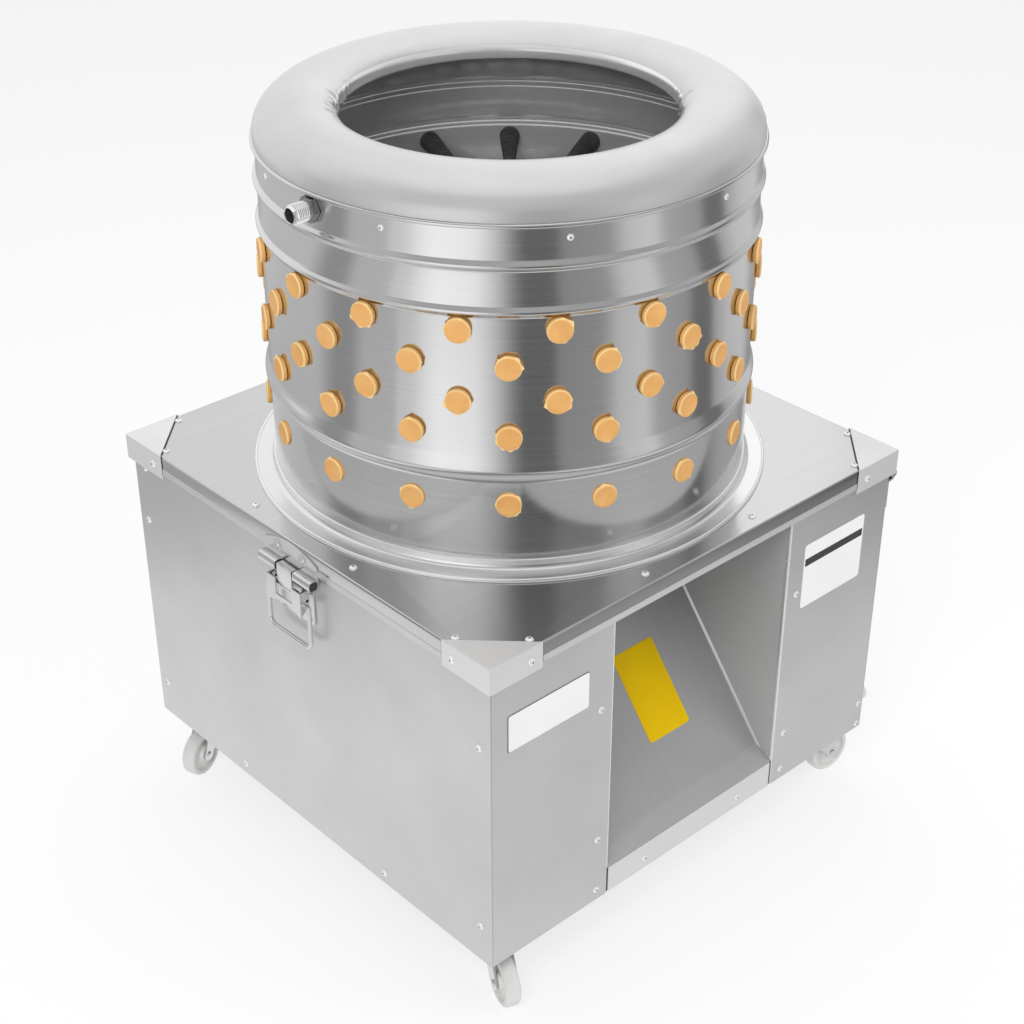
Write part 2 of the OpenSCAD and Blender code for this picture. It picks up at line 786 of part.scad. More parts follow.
function row_turns(shift) = [for (i = [0:row_count - 1]) row_phase + (i + shift) * row_turn];
rows = [
    [row_low_z, 0], [row_low_z + 2 * row_pitch, 0], [row_low_z + 3 * row_pitch, 0.5],
    [row_low_z + 4 * row_pitch, 0], [row_low_z + 5 * row_pitch, 0.5]
];

module finger_row(i) {
    for (t = row_turns(rows[i][1]))
        on_drum(t, rows[i][0]) translate([0, 0, head_seat]) finger(neck_len);
}

module drum_shell() {
    color(steel) difference() {
        translate([0, 0, plate_z]) rotate_extrude($fn = 96) union() {
            polygon(concat(
                [for (z = drum_levels) [outline(z), z]],
                [for (i = [1:len(drum_levels)]) let (z = drum_levels[len(drum_levels) - i]) [outline(z) - drum_t, z]]
            ));
            translate([drum_r + hem_r - 0.8, drum_h - hem_r]) circle(r = hem_r, $fn = 24);
        }
        for (row = rows, t = row_turns(row[1]))
            on_drum(t, row[0]) translate([0, 0, -10]) cylinder(r = hole_r, h = 20, $fn = 32);
        on_drum(inlet_turn, inlet_z) translate([0, 0, -10]) cylinder(r = inlet_shank_r + 0.2, h = 20, $fn = 32);
    }
}

module drum_ring() {
    gap = 0.1;
    fillet = 6;
    arc = [for (a = [0:15:90]) [drum_r + gap + 2 + fillet - fillet * sin(a), 2 + fillet - fillet * cos(a)]];
    color("gainsboro") translate([0, 0, plate_z]) rotate_extrude($fn = 96) union() {
        polygon(concat(
            [[drum_r + gap, 0], [ring_out_r, 0], [ring_out_r, 2]],
            arc,
            [[drum_r + gap + 2, ring_h], [drum_r + gap, ring_h]]
        ));
        translate([ring_out_r - 2, 2]) circle(r = 1.6, $fn = 24);
    }
}

// Half of an ellipse's quarter, from angle a1 to a2, about a centre
function arc_points(cx, cz, rx, rz, a1, a2, n) =
    [for (i = [0:n]) [cx + rx * cos(a1 + (a2 - a1) * i / n), cz + rz * sin(a1 + (a2 - a1) * i / n)]];

module top_cover() {
    crest_r = (brim_r + mouth_r) / 2 - 3;
    skirt = 3;
    lip_foot = drum_h + crest_rise - lip_drop - 6;
    steps = 18;
    base = drum_h + skirt;
    brim = [brim_r - crest_r, crest_rise - skirt];
    lip = [crest_r - mouth_r, lip_drop];
    lip_z = drum_h + crest_rise - lip_drop;
    outer = arc_points(crest_r, base, brim.x, brim.y, 0, 90, steps);
    inner = arc_points(crest_r, lip_z, lip.x, lip.y, 90, 180, steps);
    outer_in = arc_points(crest_r, base, brim.x - cover_t, brim.y - cover_t, 0, 90, steps);
    inner_in = arc_points(crest_r, lip_z, lip.x - cover_t, lip.y - cover_t, 90, 180, steps);
    last = 2 * steps + 1;
    skin_in = concat(outer_in, inner_in);
    color(steel) translate([0, 0, plate_z]) rotate_extrude($fn = 96) union() {
        polygon(concat(
            [[brim_r, cover_gap + drum_h]], outer, inner,
            [[mouth_r, lip_foot], [mouth_r + cover_t, lip_foot]],
            [for (i = [0:last]) skin_in[last - i]], [[brim_r - cover_t, cover_gap + drum_h]]
        ));
        translate([drum_in_r, drum_h + cover_gap]) square([brim_r - drum_in_r - 0.5, 1.2]);
        translate([mouth_r + 1.6, lip_foot]) circle(r = 2.2, $fn = 24);
    }
}

module water_inlet() {
    color("gainsboro") on_drum(inlet_turn, inlet_z) difference() {
        union() {
            translate([0, 0, -24]) cylinder(r = inlet_shank_r, h = 40);
            translate([0, 0, nut_t + 1.1]) cylinder(r = inlet_r, h = 25 - nut_t - 1.1);
            translate([0, 0, 25]) cylinder(r1 = inlet_r, r2 = inlet_r - 1, h = 3);
        }
        translate([0, 0, -30]) cylinder(r = inlet_bore_r, h = 70);
    }
}

module inlet_nuts() {
    flats = (inlet_r + 2.1) / cos(30);
    color(steel) on_drum(inlet_turn, inlet_z) rotate([0, 0, 30]) {
        difference() {
            translate([0, 0, 0.1]) cylinder(r = flats, h = nut_t, $fn = 6);
            translate([0, 0, -1]) cylinder(r = inlet_shank_r + 0.1, h = 12);
        }
        translate([0, 0, -drum_t - nut_t - 1.5]) difference() {
            cylinder(r = flats, h = nut_t + 0.5, $fn = 6);
            translate([0, 0, -1]) cylinder(r = inlet_shank_r + 0.1, h = 12);
        }
    }
}

module panel_screws() {
    edge = 17;
    foot_z = caster_h + 16;
    bottom_y = 133;
    rail_x = 79;
    color("whitesmoke") {
        for (y = [edge - panel_x, panel_x - edge], z = [caster_h + 50, panel_top_z - 105])
            on_left(y, z) screw_head();
        on_left(panel_x - edge - 5, panel_top_z - 31) screw_head();
        for (y = [-bottom_y, bottom_y])
            on_left(y, foot_z) screw_head();
        for (z = [foot_z, panel_h * 0.225 + caster_h, panel_top_z - 128])
            on_front(-wall_out_x - edge, z) screw_head();
        for (z = [foot_z, caster_h + 71, panel_top_z - 125])
            on_front(wall_out_x + edge, z) screw_head();
        for (z = [caster_h + 8, caster_h + 39])
            on_front(panel_x - 9, z) screw_head();
        for (x = [-rail_x, rail_x])
            on_front(x, foot_z) screw_head();
        mirror([0, 1, 0]) for (x = [edge - panel_x, 0, panel_x - edge], z = [foot_z, panel_top_z - 105])
            on_front(x, z) screw_head();
        mirror([1, 0, 0]) for (y = [-bottom_y, bottom_y], z = [foot_z, panel_top_z - 105])
            on_left(y, z) screw_head();
    }
}

module lid_screws() {
    side = rim_x - 17;
    corner_side = 12 - rim_x;
    corner_off = cap_leg - 8 - rim_x;
    cap_face = cap_x - 56;
    screw_z = plate_z - 15;
    drum_screws = 9;
    color("whitesmoke") {
        both_y() for (x = [-side, side])
            translate([x, -86, plate_z]) screw_head();
        both_y() for (x = [-84, 84])
            translate([x, -side, plate_z]) screw_head();
        both_x() both_y() {
            translate([corner_side, corner_off, plate_z]) screw_head();
            translate([corner_off, corner_side, plate_z]) screw_head();
            on_front(cap_face, screw_z, cap_x - panel_x) screw_head();
        }
        both_y() on_left(-cap_face, screw_z, cap_x - panel_x) screw_head();
        for (i = [0:drum_screws - 1])
            on_drum(200.4 + i * 360 / drum_screws, inlet_z + 2) screw_head(3.4);
    }
}

module hinge_knuckle(from, to) {
    both_y() translate([hinge_x, hinge_end_y + from, hinge_z]) rotate([-90, 0, 0])
        cylinder(r = knuckle_r, h = to - from);
}

hinge_end_y = -cap_x + 6;
third = hinge_len / 3;

module hinge_lower_leaves() {
    gap = 0.3;
    leaf_down = 42;
    color("gainsboro") {
        difference() {
            union() {
                hinge_knuckle(0, third - gap);
                hinge_knuckle(2 * third + gap, hinge_len);
                both_y() translate([0, hinge_end_y + hinge_len, 0]) rotate([90, 0, 0]) linear_extrude(hinge_len)
                    polygon([
                        [panel_x, hinge_z - leaf_down], [panel_x + leaf_t, hinge_z - leaf_down],
                        [panel_x + leaf_t, hinge_z - knuckle_r - leaf_t - 1],
                        [hinge_x, hinge_z - knuckle_r - leaf_t + 0.5], [hinge_x, hinge_z - knuckle_r + 0.5],
                        [panel_x + leaf_t, hinge_z - knuckle_r - 0.6], [panel_x, hinge_z - knuckle_r - 0.6]
                    ]);
            }
            both_y() translate([hinge_x, hinge_end_y - 1, hinge_z]) rotate([-90, 0, 0])
                cylinder(r = pin_r + 0.02, h = hinge_len + 2, $fn = pin_fn);
            both_y() translate([hinge_x, hinge_end_y + third - gap, hinge_z]) rotate([-90, 0, 0])
                cylinder(r = knuckle_r + 0.4, h = third + 2 * gap);
        }
    }
    color(steel) both_y() translate([hinge_x, hinge_end_y, hinge_z]) rotate([-90, 0, 0])
        cylinder(r = pin_r, h = hinge_len, $fn = pin_fn);
}

module hinge_upper_leaves() {
    color("gainsboro") difference() {
        union() {
            hinge_knuckle(third, 2 * third);
            both_y() translate([cap_x, hinge_end_y, hinge_z + knuckle_r + 0.6])
                cube([leaf_t, hinge_len, cap_drop - 4]);
            both_y() translate([cap_x, hinge_end_y + third, hinge_z]) cube([leaf_t, third, knuckle_r + 2]);
        }
        both_y() translate([hinge_x, hinge_end_y, hinge_z]) rotate([-90, 0, 0])
            cylinder(r = pin_r + run_gap, h = hinge_len, $fn = pin_fn);
    }
}

module latch_base() {
    foot_z = pull_z - 31;
    top_z = lever_z + 7;
    color("gainsboro") {
        difference() {
            union() {
                latch_profile(64) polygon([[0, foot_z], [2, foot_z], [2, top_z], [0, top_z]]);
                both_y() translate([0, ear_in_y + 1, 0]) latch_profile(2) {
                    translate([1, lever_z - 5]) square([lever_out - 1, 10]);
                    translate([lever_out, lever_z]) circle(r = 5);
                }
            }
            translate([-panel_x - lever_out, -40, lever_z]) rotate([-90, 0, 0])
                cylinder(r = latch_pin_r, h = 80, $fn = pin_fn);
        }
        both_y() translate([-panel_x - lever_out, ear_in_y, lever_z]) rotate([-90, 0, 0])
            cylinder(r = latch_pin_r, h = lever_in_y + 3 - ear_in_y, $fn = pin_fn);
        for (y = [-24, 24], z = [foot_z + 6])
            on_left(y, z, 2) screw_head(3);
    }
}

module latch_lever() {
    skin_out = lever_out + lever_skin;
    foot_z = lever_z - 28;
    slot_half = hook_w / 2 + 1.5;
    color("gainsboro") difference() {
        union() {
            latch_profile(2 * lever_in_y + 4) polygon([
                [skin_out, foot_z], [skin_out + 2, foot_z], [skin_out + 2, lever_z + 5], [skin_out, lever_z + 5]
            ]);
            both_y() translate([0, lever_in_y + 1, 0]) latch_profile(2) {
                translate([lever_out, lever_z]) circle(r = 5);
                polygon([
                    [lever_out - 4.5, lever_z - 2], [lever_out - 3, lever_z - 16], [skin_out + 1, foot_z + 3],
                    [skin_out + 1, lever_z + 5], [lever_out, lever_z + 5]
                ]);
            }
        }
        translate([-panel_x - 40, -slot_half, lever_z - 17]) cube([60, 2 * slot_half, 40]);
        both_y() translate([-panel_x - lever_out, lever_in_y - 1, lever_z]) rotate([-90, 0, 0])
            cylinder(r = latch_pin_r + run_gap, h = 6, $fn = pin_fn);
        both_y() translate([-panel_x - pull_out, lever_in_y - 1, pull_z]) rotate([-90, 0, 0])
            cylinder(r = pull_wire_r + run_gap, h = 6, $fn = pin_fn);
        both_y() translate([-panel_x - hook_pivot_out, lever_in_y - 1, hook_pivot_z]) rotate([-90, 0, 0])
            cylinder(r = latch_pin_r, h = 6, $fn = pin_fn);
    }
    color(steel) translate([-panel_x - hook_pivot_out, -lever_in_y - 2, hook_pivot_z]) rotate([-90, 0, 0])
        cylinder(r = latch_pin_r, h = 2 * lever_in_y + 4, $fn = pin_fn);
}

module latch_hook() {
    tab_z = keeper_z + keeper_pin_r + 0.4;
    leg = keeper_out + keeper_pin_r + 0.5;
    t = 2;
    color("whitesmoke") difference() {
        union() {
            latch_profile(hook_w) {
                translate([hook_pivot_out, hook_pivot_z]) circle(r = 4);
                polygon([
                    [hook_pivot_out + 3, hook_pivot_z - 2.6], [leg + t, lever_z + 3], [leg + t, tab_z + t],
                    [keeper_out - 3, tab_z + t], [keeper_out - 3, tab_z], [leg, tab_z], [leg, lever_z + 4],
                    [hook_pivot_out + 1, hook_pivot_z + 3.8]
                ]);
            }
        }
        translate([-panel_x - hook_pivot_out, -40, hook_pivot_z]) rotate([-90, 0, 0])
            cylinder(r = latch_pin_r + run_gap, h = 80, $fn = pin_fn);
    }
}

module pull_ring() {
    bend = 9;
    half = pull_w / 2;
    foot = pull_z - pull_len;
    color("gainsboro") translate([-panel_x - pull_out, 0, 0]) {
        both_y() {
            translate([0, lever_in_y - 0.5, pull_z]) rotate([-90, 0, 0])
                cylinder(r = pull_wire_r, h = half - lever_in_y + 0.5, $fn = pin_fn);
            translate([0, half, pull_z]) sphere(r = pull_wire_r, $fn = pin_fn);
            translate([0, half, foot + bend]) cylinder(r = pull_wire_r, h = pull_z - foot - bend, $fn = pin_fn);
            translate([0, half - bend, foot + bend]) rotate([0, 90, 0])
                rotate_extrude(angle = 90, $fn = 48) translate([bend, 0]) circle(r = pull_wire_r, $fn = 24);
        }
        translate([0, -half + bend, foot]) rotate([-90, 0, 0])
            cylinder(r = pull_wire_r, h = pull_w - 2 * bend, $fn = pin_fn);
    }
}

module latch_keeper() {
    plate_out = rim_out;
    half_w = 46;
    knuckle_in = hook_w / 2 + 2.5;
    arch_z = plate_z - 2;
    color("gainsboro") {
        difference() {
            union() {
                translate([-panel_x - plate_out, 0, 0]) rotate([0, -90, 0]) linear_extrude(2)
                    intersection() {
                        translate([keeper_z + 3, -half_w]) square([arch_z - keeper_z - 3, 2 * half_w]);
                        translate([arch_z - 110, 0]) circle(r = 110, $fn = 96);
                    }
                both_y() translate([0, (half_w + knuckle_in) / 2, 0]) latch_profile(half_w - knuckle_in) {
                    translate([keeper_out, keeper_z]) circle(r = keeper_knuckle_r);
                    translate([plate_out, keeper_z]) square([2, 8]);
                }
            }
            translate([-panel_x - keeper_out, -half_w - 1, keeper_z]) rotate([-90, 0, 0])
                cylinder(r = keeper_pin_r, h = 2 * half_w + 2, $fn = pin_fn);
        }
        translate([-panel_x - keeper_out, -half_w + 1, keeper_z]) rotate([-90, 0, 0])
            cylinder(r = keeper_pin_r, h = 2 * half_w - 2, $fn = pin_fn);
        for (y = [-22, 22])
            on_left(y, keeper_z + 20, plate_out + 2) screw_head(4.6);
    }
}

module caster_plates() {
    plate = 60;
    color("gainsboro") both_x() both_y() translate([-swivel_x, -swivel_x, caster_h - caster_plate_t])
        difference() {
            translate([-plate / 2, -plate / 2, 0]) cube([plate, plate, caster_plate_t]);
            translate([0, 0, -1]) cylinder(r = 6 + run_gap, h = caster_plate_t + 2);
        }
}

// A swivel fork with its kingpin on the axis; the axle lies at -X by the trail
module fork() {
    cheek = wheel_w / 2 + 1;
    cheek_t = 2.5;
    color("gainsboro") {
        translate([0, 0, fork_top_z]) cylinder(r = 6, h = caster_h - fork_top_z + 1.5);
        translate([0, 0, fork_top_z - 6]) cylinder(r = 23, h = 6);
        translate([0, 0, caster_h]) translate([0, 0, 0.2]) cylinder(r = 7.5, h = 2.4);
        for (side = [-1, 1])
            translate([0, side * (cheek + cheek_t / 2) + cheek_t / 2, 0]) rotate([90, 0, 0])
                linear_extrude(cheek_t) difference() {
                    union() {
                        translate([-trail, wheel_r]) circle(r = axle_r + 5);
                        polygon([
                            [-trail - axle_r - 5, wheel_r], [-trail + axle_r + 5, wheel_r],
                            [17, fork_top_z - 12], [17, fork_top_z - 3], [-20, fork_top_z - 3], [-20, fork_top_z - 10]
                        ]);
                    }
                    translate([-trail, wheel_r]) circle(r = axle_r);
                }
    }
    color(steel) translate([-trail, 0, wheel_r]) rotate([90, 0, 0])
        cylinder(r = axle_r, h = 2 * (cheek + cheek_t) + 4, center = true);
}

module wheel() {
    color("white") translate([-trail, 0, wheel_r]) rotate([90, 0, 0]) rotate_extrude($fn = 64) polygon([
        [axle_r + run_gap, -wheel_w / 2], [axle_r + 6, -wheel_w / 2], [axle_r + 7, -wheel_w / 2 + 5],
        [wheel_r - 7, -wheel_w / 2 + 4], [wheel_r - 6, -wheel_w / 2 + 1], [wheel_r - 2, -wheel_w / 2 + 1],
        [wheel_r, -wheel_w / 2 + 4], [wheel_r, wheel_w / 2 - 4],
        [wheel_r - 2, wheel_w / 2 - 1], [wheel_r - 6, wheel_w / 2 - 1], [wheel_r - 7, wheel_w / 2 - 4],
        [axle_r + 7, wheel_w / 2 - 5], [axle_r + 6, wheel_w / 2], [axle_r + run_gap, wheel_w / 2]
    ]);
}

// Where each caster stands, and how it is turned at rest
casters = [[-1, -1, 70], [1, -1, 173], [-1, 1, 20], [1, 1, 110]];

module at_caster(i) {
    translate([casters[i][0] * swivel_x, casters[i][1] * swivel_x, 0]) rotate([0, 0, casters[i][2]]) children();
}

module switch_box() {
    box_w = button_gap + 2 * button_r + 12;
    box_h = 2 * button_r + 24;
    depth = 42;
    inner_y = frame_y - depth;
    mid_x = button_x + button_gap / 2;
    color("gainsboro") difference() {
        translate([mid_x - box_w / 2, inner_y, button_z - box_h / 2]) cube([box_w, depth, box_h]);
        translate([mid_x - box_w / 2 + 3, inner_y + 3, button_z - box_h / 2 + 3])
            cube([box_w - 6, depth, box_h - 6]);
    }
    color("dimgray") difference() {
        translate([mid_x - box_w / 2 + 3, inner_y + 3, button_z - 12]) cube([box_w - 6, 16, 24]);
        for (x = [button_x, button_x + button_gap])
            translate([x, inner_y + 30, button_z]) rotate([90, 0, 0]) cylinder(r = 4 + run_gap, h = 26);
    }
}

module button_bezels() {
    color("dimgray") for (x = [button_x, button_x + button_gap])
        translate([x, panel_x, button_z]) rotate([-90, 0, 0]) difference() {
            cylinder(r = button_r + 4, h = 2.5);
            translate([0, 0, -1]) cylinder(r = button_r + 0.6, h = 6);
        }
}

module push_button(x, proud) {
    inner_y = frame_y - 42;
    translate([x, panel_x + proud, button_z]) rotate([90, 0, 0]) {
        cylinder(r = button_r, h = 12);
        cylinder(r = 4, h = panel_x + proud - inner_y - 3 - button_travel - 3);
    }
}

module start_button() {
    color("seagreen") push_button(button_x, 5);
}

module stop_button() {
    color("firebrick") push_button(button_x + button_gap, 6.5);
}

module cable_gland() {
    proud = latch_reach;
    color("whitesmoke") translate([panel_x, gland_y, gland_z]) rotate([0, 90, 0]) difference() {
        union() {
            cylinder(r = gland_bore_r + 7.5, h = 6, $fn = 6);
            cylinder(r = gland_bore_r + 6, h = proud - 3);
            translate([0, 0, proud - 3]) cylinder(r1 = gland_bore_r + 6, r2 = gland_bore_r + 3, h = 3);
            translate([0, 0, -18]) cylinder(r = gland_bore_r + 3.5, h = 19);
        }
        translate([0, 0, -30]) cylinder(r = gland_bore_r, h = 80);
    }
}

// How far the latch stands out from the left panel; the gland stands out as far on the right
latch_reach = lever_out + lever_skin + 2;

base_frame();
cross_beams();
left_panel();
right_panel();
back_panel();
front_panel_left();
front_panel_right();
kick_rail();
chute_floor();
chute_walls();
wash_pan();
bearing_housings();
motor_plate();
motor_body();
motor_cowl();
motor_bolts();
drive_belt();
switch_box();
button_bezels();
cable_gland();
panel_screws();
hinge_lower_leaves();
latch_base();
caster_plates();
top_plate();
corner_caps();
drum_shell();
drum_ring();
top_cover();
finger_row(4);  // finger_row_one
finger_row(3);  // finger_row_two
finger_row(2);  // finger_row_three
finger_row(1);  // finger_row_four
finger_row(0);  // finger_row_five
water_inlet();
inlet_nuts();
lid_screws();
hinge_upper_leaves();
latch_keeper();
finger_plate();
plate_fingers();
sweepers();
main_shaft();
driven_pulley();
motor_shaft();
drive_pulley();
cooling_fan();
latch_lever();
latch_hook();
pull_ring();
start_button();
stop_button();
at_caster(0) fork();  // fork_front_left
at_caster(1) fork();  // fork_front_right
at_caster(2) fork();  // fork_back_left
at_caster(3) fork();  // fork_back_right
at_caster(0) wheel();  // wheel_front_left
at_caster(1) wheel();  // wheel_front_right
at_caster(2) wheel();  // wheel_back_left
at_caster(3) wheel();  // wheel_back_right
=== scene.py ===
# %% [markdown]
# # A drum plucker on casters
# The machine is a square steel box with a drum on its lid. The drum is lined with rubber fingers.
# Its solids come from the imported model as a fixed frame, already in place and in metres. This
# script gives them their finishes, and models again the pieces whose look needs finer shapes.

import json
import random
from math import atan2, cos, degrees, hypot, pi, radians, sin, sqrt, tau

import bmesh
import bpy
from bmesh import ops
from mathutils import Matrix, Vector, noise


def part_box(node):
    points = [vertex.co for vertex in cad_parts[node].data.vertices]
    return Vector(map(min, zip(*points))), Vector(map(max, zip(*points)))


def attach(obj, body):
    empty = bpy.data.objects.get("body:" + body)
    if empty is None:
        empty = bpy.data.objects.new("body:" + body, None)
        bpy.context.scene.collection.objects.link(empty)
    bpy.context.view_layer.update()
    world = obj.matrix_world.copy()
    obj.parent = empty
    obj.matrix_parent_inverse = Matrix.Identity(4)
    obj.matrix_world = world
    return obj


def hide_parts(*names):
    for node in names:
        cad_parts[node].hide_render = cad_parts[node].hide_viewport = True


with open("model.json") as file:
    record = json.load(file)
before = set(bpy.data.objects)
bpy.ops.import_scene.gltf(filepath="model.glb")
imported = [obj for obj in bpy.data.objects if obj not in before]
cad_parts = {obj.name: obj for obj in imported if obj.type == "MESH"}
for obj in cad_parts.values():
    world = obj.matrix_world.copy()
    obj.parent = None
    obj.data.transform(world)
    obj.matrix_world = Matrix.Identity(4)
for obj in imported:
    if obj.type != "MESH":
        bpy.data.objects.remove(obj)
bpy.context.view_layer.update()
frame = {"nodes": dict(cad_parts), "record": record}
scene = bpy.context.scene

# %% [markdown]
# ## Sizes
# The drum stands on the lid plate, and everything round is measured from its axis, which is the
# frame's Z axis. A size that one of the frame's boxes gives is read from it, so that a changed
# solid moves the piece that stands for it. Shapes are written in millimetres and scaled to
# metres where a mesh is made.


# %% Sizes read from the frame
def corner_mm(node, end=1):
    """A node's upper corner in millimetres, or its lower one where end is zero."""
    return [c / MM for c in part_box(node)[end]]


MM = 0.001
rim_mm, _, plate_mm = corner_mm("top_plate")
rim_low_mm = corner_mm("top_plate", 0)[2]
ring_mm = corner_mm("drum_ring")[0]
face_mm = corner_mm("back_panel")[1]
front = -face_mm
panel_low, panel_top = (corner_mm("left_panel", end)[2] for end in (0, 1))
print("lid plate at", round(plate_mm, 2), "rim", round(rim_mm, 2))

# %% [markdown]
# ## The camera
# The photograph was taken from the front left corner and from above, with a mild tele lens. The
# camera looks straight at a point beside the drum's axis, so nothing is shifted.


# %% Camera
def link(name, data):
    """Makes an object of some data and puts it in the scene."""
    made = bpy.data.objects.new(name, data)
    scene.collection.objects.link(made)
    return made


camera_turn, camera_rise = map(radians, (-42.61, 31.444))
picture_width, focal_length = 1024, 1899.97
flat = cos(camera_rise)
back = Vector((sin(camera_turn) * flat, -cos(camera_turn) * flat, sin(camera_rise)))
right = Vector((cos(camera_turn), sin(camera_turn), 0))
view_matrix = Matrix((right, back.cross(right), back)).transposed().to_4x4()
view_matrix.translation = Vector((-1.30733, -1.42562, 1.56802))
camera_data = bpy.data.cameras.new("camera")
camera_data.sensor_width = 36
camera_data.lens = focal_length / picture_width * camera_data.sensor_width
camera = link("camera", camera_data)
camera.matrix_world = view_matrix
scene.camera = camera
scene.view_settings.view_transform = "Standard"
print("lens", round(camera_data.lens, 1), "mm")

# %% [markdown]
# ## Node helpers
# A material is a small graph. `add` makes one node, sets its properties and fills its sockets,
# either with a value or with a link from another node. Every pattern reads Object coordinates,
# which are metres in the machine's own frame, so a streak keeps its real size on every piece.


# %% Node helpers
def put(tree, socket, value):
    if isinstance(value, bpy.types.NodeSocket):
        tree.links.new(value, socket)
    else:
        socket.default_value = value


def add(tree, kind, inputs=None, **settings):
    node = tree.nodes.new("ShaderNode" + kind)
    for key, value in settings.items():
        setattr(node, key, value)
    for key, value in (inputs or {}).items():
        put(tree, node.inputs[key], value)
    return node


def maths(tree, operation, first, second):
    return add(tree, "Math", {0: first, 1: second}, operation=operation).outputs[0]


def grey(level):
    return (level, level, level, 1.0)


def object_place(tree):
    return add(tree, "TexCoord").outputs["Object"]


def lumpy(tree, scale, detail=4.0, roughness=0.55, stretch=(1, 1, 1)):
    """A noise, drawn out along the axes where its stretch is small."""
    mapped = add(tree, "Mapping", {"Vector": object_place(tree), "Scale": stretch})
    return add(tree, "TexNoise", {
        "Vector": mapped.outputs["Vector"],
        "Scale": scale, "Detail": detail, "Roughness": roughness,
    }).outputs["Fac"]


def remap(tree, value, low=0.0, high=1.0, from_low=0.3, from_high=0.7, **settings):
    levels = enumerate((value, from_low, from_high, low, high))
    return add(tree, "MapRange", dict(levels), **settings).outputs["Result"]


def blend(tree, factor, first, second, blend_type="MIX"):
    made = add(tree, "Mix", {"Factor": factor}, data_type="RGBA", blend_type=blend_type)
    for socket, value in zip([s for s in made.inputs if s.type == "RGBA"], (first, second)):
        put(tree, socket, value)
    return next(s for s in made.outputs if s.type == "RGBA")


def relief(tree, surface, colour, rough, height, strength, distance):
    """Links a colour, a roughness and a bump to a material's surface."""
    put(tree, surface.inputs["Base Color"], colour)
    put(tree, surface.inputs["Roughness"], rough)
    bump = add(tree, "Bump", {"Height": height, "Strength": strength, "Distance": distance})
    put(tree, surface.inputs["Normal"], bump.outputs["Normal"])


def new_material(name, key, level):
    """A new material with one of its surface's inputs set."""
    made = bpy.data.materials.new(name)
    made.use_nodes = True
    surface = made.node_tree.nodes["Principled BSDF"]
    surface.inputs[key].default_value = level
    return made, made.node_tree, surface


print("node helpers ready")

# %% [markdown]
# ## Sheet steel
# Stainless sheet leaves the mill with a fine grain in one direction. The grain is too small to
# model, but it widens every reflection across itself. A noise that is stretched along one axis
# moves the roughness and a bump as that grain does, and a second, slow noise gives the clouds
# that handling leaves on a sheet.


# %% Steel finishes
def steel(name, level, rough, grain=(3, 3, 420), tilt=0.02, cloud=0.05, metal=1.0, wander=0.03):
    made, tree, surface = new_material(name, "Metallic", metal)
    streaks = lumpy(tree, 1.0, 3.0, 0.6, grain)
    clouds = lumpy(tree, 7.0, 5.0, 0.6)
    tone = blend(tree, remap(tree, streaks), grey(level - 0.02), grey(level + 0.02))
    tone = blend(tree, remap(tree, clouds, 0.0, 0.5), tone, grey(level * (1 - cloud * 2)))
    wide = maths(tree, "ADD", remap(tree, streaks, -wander, wander),
                 remap(tree, clouds, rough - cloud, rough + cloud))
    relief(tree, surface, tone, wide, streaks, tilt, 0.002)
    return made


# Each steel: its level, its roughness and what differs from the plain sheet
steels = {
    "panel_steel": (0.66, 0.38, dict(metal=0.88)),
    "bright_sheet": (0.76, 0.40, dict(metal=0.8)),
    "spun_cover": (0.62, 0.34, dict(grain=(12, 12, 60), tilt=0.01, metal=0.65, wander=0.01)),
    # A bright steel: the welds' own shine, and a painted highlight on rolled edges, the lip and
    # chute edges.
    "weld_and_highlight": (0.90, 0.24, dict(grain=(6, 6, 300), tilt=0.004, metal=0.7, wander=0.01)),
    "hem_steel": (0.66, 0.34, dict(metal=0.6, wander=0.01)),
    # A near-black steel that stands for shade: painted shade in gaps, recesses and bores.
    "painted_shade": (0.05, 0.7, dict(metal=0.2)),
    "satin_cap": (0.80, 0.48, dict(metal=0.6)),
    # The slope's steel is darker than the walls': a painted shade.
    "shaded_slope_steel": (0.46, 0.45, dict(grain=(420, 3, 3), metal=0.5)),
    "chute_side": (0.66, 0.50, dict(metal=0.5)),
    "apron_steel": (0.54, 0.55, dict(metal=0.5)),
    "turned_steel": (0.86, 0.18, dict(grain=(60, 60, 60), tilt=0.01, cloud=0.02)),
    "nut_steel": (0.36, 0.30, dict(grain=(60, 60, 60), tilt=0.01)),
    "ring_steel": (0.80, 0.24, dict(tilt=0.0, cloud=0.02, wander=0.0)),
    "polished_steel": (0.68, 0.14, dict(tilt=0.008, cloud=0.015, wander=0.02)),
    "lid_steel": (0.60, 0.15, dict(grain=(3, 420, 3), tilt=0.0, cloud=0.01, wander=0.0)),
    # A dark steel for the rim's front face: a painted dark reflection.
    "rim_painted_shade": (0.32, 0.22, dict(cloud=0.03, wander=0.01)),
    # A brighter, less metallic copy of the drum's steel for its inner face: painted light inside
    # the drum.
    "lit_drum_inside": (0.90, 0.13, dict(
        grain=(8, 8, 120), tilt=0.0, cloud=0.02, metal=0.65, wander=0.0)),
    "frame_steel": (0.52, 0.45, dict(grain=(8, 8, 8), metal=0.8)),
    "bright_hardware": (0.72, 0.24, dict(grain=(90, 90, 90), tilt=0.01, metal=0.9)),
    # Zinc plating on screws, and a painted highlight on the front sheets' cut edges.
    "zinc_and_edge_highlight": (0.92, 0.24, dict(grain=(200, 200, 200), tilt=0.01, metal=0.45)),
    "cast_iron_grey": (0.20, 0.62, dict(grain=(260, 260, 260), tilt=0.2)),
    "cast_alloy": (0.45, 0.50, dict(grain=(220, 220, 220), tilt=0.15)),
}
finish = {name: steel(name, level, rough, **more) for name, (level, rough, more) in steels.items()}
print("steels:", ", ".join(finish))

# %% [markdown]
# ## Paint, rubber and plastic
# These have no metal in them, so their own colour is what shows. Moulded and painted surfaces
# are never quite even: a fine noise lifts the surface, and a slow one shifts the colour.


